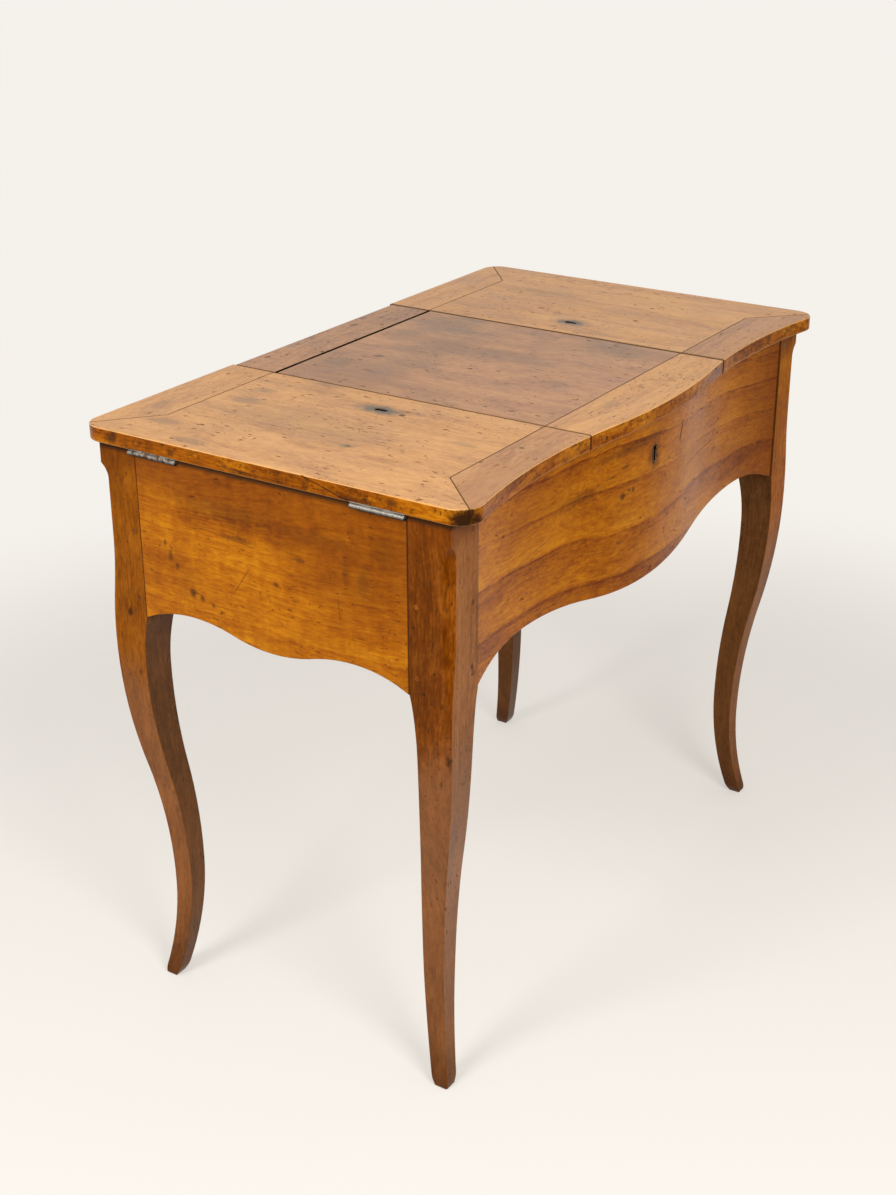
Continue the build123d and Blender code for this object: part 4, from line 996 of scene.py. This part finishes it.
class POUDREUSE_OT_locks(bpy.types.Operator):
    """Finish the three locks, their strikes and the keyhole lining"""

    bl_idname = "poudreuse.locks"
    bl_label = "Locks"

    def execute(self, context):
        iron = metal("lock_iron", "iron", 0.5, 0.7)
        bright = metal("bolt_steel", "steel", 0.35, 0.3)
        for node in NODES:
            if node.endswith(("_lock_case", "_strike", "_strikes")):
                dress(NODES[node], iron)
            elif node.endswith(("_bolt", "_lock_screws")):
                dress(NODES[node], bright)
        # Painted shade: the inside of the keyhole lining is near-black.
        dark = Finish("keyhole_inside_shade").surface(linear("deep_shade"), 0.7, Specular_IOR_Level=0.1)
        iron_piece("keyhole_lining", metal("keyhole_brass", "brass", 0.3, 0.2), dark, sort=rim_finish)
        return {"FINISHED"}


class POUDREUSE_OT_hinges(bpy.types.Operator):
    """Finish the side hinges and the small hinges behind the middle lid"""

    bl_idname = "poudreuse.hinges"
    bl_label = "Hinges"

    def execute(self, context):
        steel = metal("hinge_steel", "steel", 0.34, 0.9, side_hinges=True)
        # The small hinges in the gap behind the middle lid are old black iron, darkened to match that gap's
        # painted shade.
        blackened_and_shaded = metal("small_hinge_shaded_iron", "grime_and_shade", 0.6, 0.3)
        for node in NODES:
            if "hinge" in node:
                if "side_hinge_fixed" in node or "flap_hinge_leaves" in node:
                    iron_piece(node, steel)
                else:
                    dress(NODES[node], blackened_and_shaded if node.startswith(("rail_", "middle_")) else steel)
        return {"FINISHED"}


FOXING_SCALE, FOXING_STRENGTH = 60.0, 0.6


class POUDREUSE_OT_mirror(bpy.types.Operator):
    """Finish the mirror and its beads"""

    bl_idname = "poudreuse.mirror"
    bl_label = "Mirror"

    def execute(self, context):
        wooden("mirror_beads", wood("bead_wood", "leg", "Y", 61.0))
        make = Finish("old_mirror")
        silver, grime_and_shade = linear("silver"), linear("grime_and_shade")
        foxing = make.between(make.noise(make.place, FOXING_SCALE, 5.0, 0.7), *PIT_STEP)
        body = make.blend(make.times(foxing, FOXING_STRENGTH), silver, grime_and_shade)
        dress(NODES["mirror_glass"], make.surface(body, 0.06, None, Metallic=1.0))
        return {"FINISHED"}


class POUDREUSE_OT_studio(bpy.types.Operator):
    """Lay the pale floor, hang the lamps and place the camera"""

    bl_idname = "poudreuse.studio"
    bl_label = "Studio"

    def execute(self, context):
        scene = context.scene
        scene.view_settings.view_transform = "Standard"
        lay_floor()
        light_world(scene)
        hang_lamp("left_lamp", place=(-2.6, 0.4, 2.2), size=1.1, power=50.0)
        hang_lamp("front_lamp", place=(-1.2, -1.8, 1.9), size=1.0, power=36.0)
        place_camera(scene)
        return {"FINISHED"}


def seen_or_mirrored(make):
    """1 where the camera, a reflection or a refraction looks, 0 for light that falls on the object."""
    path = make.new("LightPath").outputs
    return make.most(path["Is Camera Ray"], path["Is Glossy Ray"], path["Is Transmission Ray"])


FLOOR_SEGMENTS = 96
FLOOR_SHADOW = 0.5
SHADOW_FADES = (0.8, 1.6)
PAPER_END = -0.80
PAPER_BLUR = 0.1
DIM_ROOM = 0.35


def lay_floor():
    """A round pale floor that takes shadows near the table and glows evenly further out.

    What shines sees the floor dimmed ahead of the table, as where a studio's paper ends.
    """
    shape = bmesh.new()
    bmesh.ops.create_circle(shape, cap_ends=True, segments=FLOOR_SEGMENTS, radius=sizes().floor_radius)
    mesh = bpy.data.meshes.new("studio_floor")
    shape.to_mesh(mesh)
    shape.free()
    floor = new_object("studio_floor", mesh)
    make = Finish("floor_paper")
    away = make.vector("LENGTH", make.place)
    paper = linear("floor")
    diffuse = make.new("BsdfDiffuse")
    glow = make.new("Emission")
    mix = make.new("MixShader")
    make.feed(diffuse.inputs["Color"], paper)
    make.feed(glow.inputs["Color"], paper)
    glossy = make.new("LightPath").outputs["Is Glossy Ray"]
    ahead = make.between(make.part(make.place, "Y"), PAPER_END - PAPER_BLUR, PAPER_END + PAPER_BLUR, 1.0, 0.0)
    dimmed = make.times(glossy, ahead)
    make.feed(glow.inputs["Strength"], make.between(dimmed, 0.0, 1.0, 1.0, DIM_ROOM))
    plain = make.between(away, *SHADOW_FADES, 1.0 - FLOOR_SHADOW, 1.0)
    make.feed(mix.inputs[0], make.times(seen_or_mirrored(make), plain))
    make.links.new(diffuse.outputs[0], mix.inputs[1])
    make.links.new(glow.outputs[0], mix.inputs[2])
    make.links.new(mix.outputs[0], make.output.inputs["Surface"])
    dress(floor, make.material)


WORLD_LIGHT = 0.5


def light_world(scene):
    """An even pale backdrop that lights the table less brightly than it shows."""
    world = bpy.data.worlds.new("studio_world")
    scene.world = world
    world.use_nodes = True
    nodes, links = world.node_tree.nodes, world.node_tree.links
    backdrop = nodes["Background"]
    backdrop.inputs["Color"].default_value = linear("floor")
    path = nodes.new("ShaderNodeLightPath").outputs
    seen = path["Is Camera Ray"]
    for ray in ("Is Glossy Ray", "Is Transmission Ray"):
        either = nodes.new("ShaderNodeMath")
        either.operation = "MAXIMUM"
        links.new(seen, either.inputs[0])
        links.new(path[ray], either.inputs[1])
        seen = either.outputs[0]
    strength = nodes.new("ShaderNodeMapRange")
    strength.inputs["To Min"].default_value = WORLD_LIGHT
    strength.inputs["To Max"].default_value = 1.0
    links.new(seen, strength.inputs["Value"])
    links.new(strength.outputs[0], backdrop.inputs["Strength"])


LAMP_COLOUR = (0.95, 0.955, 0.94)
LAMP_AIM = Vector((0, 0, 0.5))


def hang_lamp(name, place, size, power):
    """A round soft lamp that looks at the case."""
    data = bpy.data.lights.new(name, "AREA")
    data.shape = "DISK"
    data.size = size
    data.energy = power
    data.color = LAMP_COLOUR
    lamp = new_object(name, data)
    lamp.location = place
    lamp.rotation_mode = "QUATERNION"
    lamp.rotation_quaternion = (LAMP_AIM - Vector(place)).to_track_quat("-Z", "Y")


CAMERA_PLACE = Vector((-1.76795, -1.09564, 1.34090))
CAMERA_AZIMUTH = math.radians(57.01)
CAMERA_ELEVATION = math.radians(24.08)
CAMERA_ROLL = math.radians(-0.15)
SENSOR_WIDTH = 36.0
FARTHEST_SEEN = 100.0


def place_camera(scene):
    """A camera above the front left corner, looking down at the table."""
    data = bpy.data.cameras.new("view")
    data.lens = sizes().lens
    data.sensor_width = SENSOR_WIDTH
    data.clip_end = FARTHEST_SEEN
    camera = new_object("view", data)
    back = Vector((
        -math.sin(CAMERA_AZIMUTH) * math.cos(CAMERA_ELEVATION),
        -math.cos(CAMERA_AZIMUTH) * math.cos(CAMERA_ELEVATION),
        math.sin(CAMERA_ELEVATION),
    ))
    right = Vector(UP).cross(back).normalized()
    level = Matrix((right, back.cross(right), back)).transposed()
    camera.matrix_world = Matrix.LocRotScale(CAMERA_PLACE, level @ Matrix.Rotation(CAMERA_ROLL, 3, "Z"), None)
    scene.camera = camera


OPERATORS = (
    POUDREUSE_OT_studio,
    POUDREUSE_OT_legs,
    POUDREUSE_OT_case_panels,
    POUDREUSE_OT_flaps,
    POUDREUSE_OT_middle_lid,
    POUDREUSE_OT_carcass,
    POUDREUSE_OT_locks,
    POUDREUSE_OT_hinges,
    POUDREUSE_OT_mirror,
)


class POUDREUSE_PT_panel(bpy.types.Panel):
    """Steps and settings of the dressing table"""

    bl_label = "Poudreuse"
    bl_idname = "POUDREUSE_PT_panel"
    bl_space_type = "VIEW_3D"
    bl_region_type = "UI"
    bl_category = "Poudreuse"

    def draw(self, context):
        for operator in OPERATORS:
            self.layout.operator(operator.bl_idname)
        for group in (context.scene.poudreuse_sizes, context.scene.poudreuse_colours):
            box = self.layout.box()
            for name in group.bl_rna.properties.keys():
                if name not in ("rna_type", "name"):
                    box.prop(group, name)


CLASSES = (PoudreuseSizes, PoudreuseColours, *OPERATORS, POUDREUSE_PT_panel)


def register():
    for cls in CLASSES:
        bpy.utils.register_class(cls)
    bpy.types.Scene.poudreuse_sizes = PointerProperty(type=PoudreuseSizes)
    bpy.types.Scene.poudreuse_colours = PointerProperty(type=PoudreuseColours)


def unregister():
    del bpy.types.Scene.poudreuse_colours
    del bpy.types.Scene.poudreuse_sizes
    for cls in reversed(CLASSES):
        bpy.utils.unregister_class(cls)


def main():
    """Builds the table and its studio."""
    register()
    for operator in OPERATORS:
        name = operator.bl_idname.split(".")[1]
        getattr(bpy.ops.poudreuse, name)()


if __name__ == "__main__":
    main()
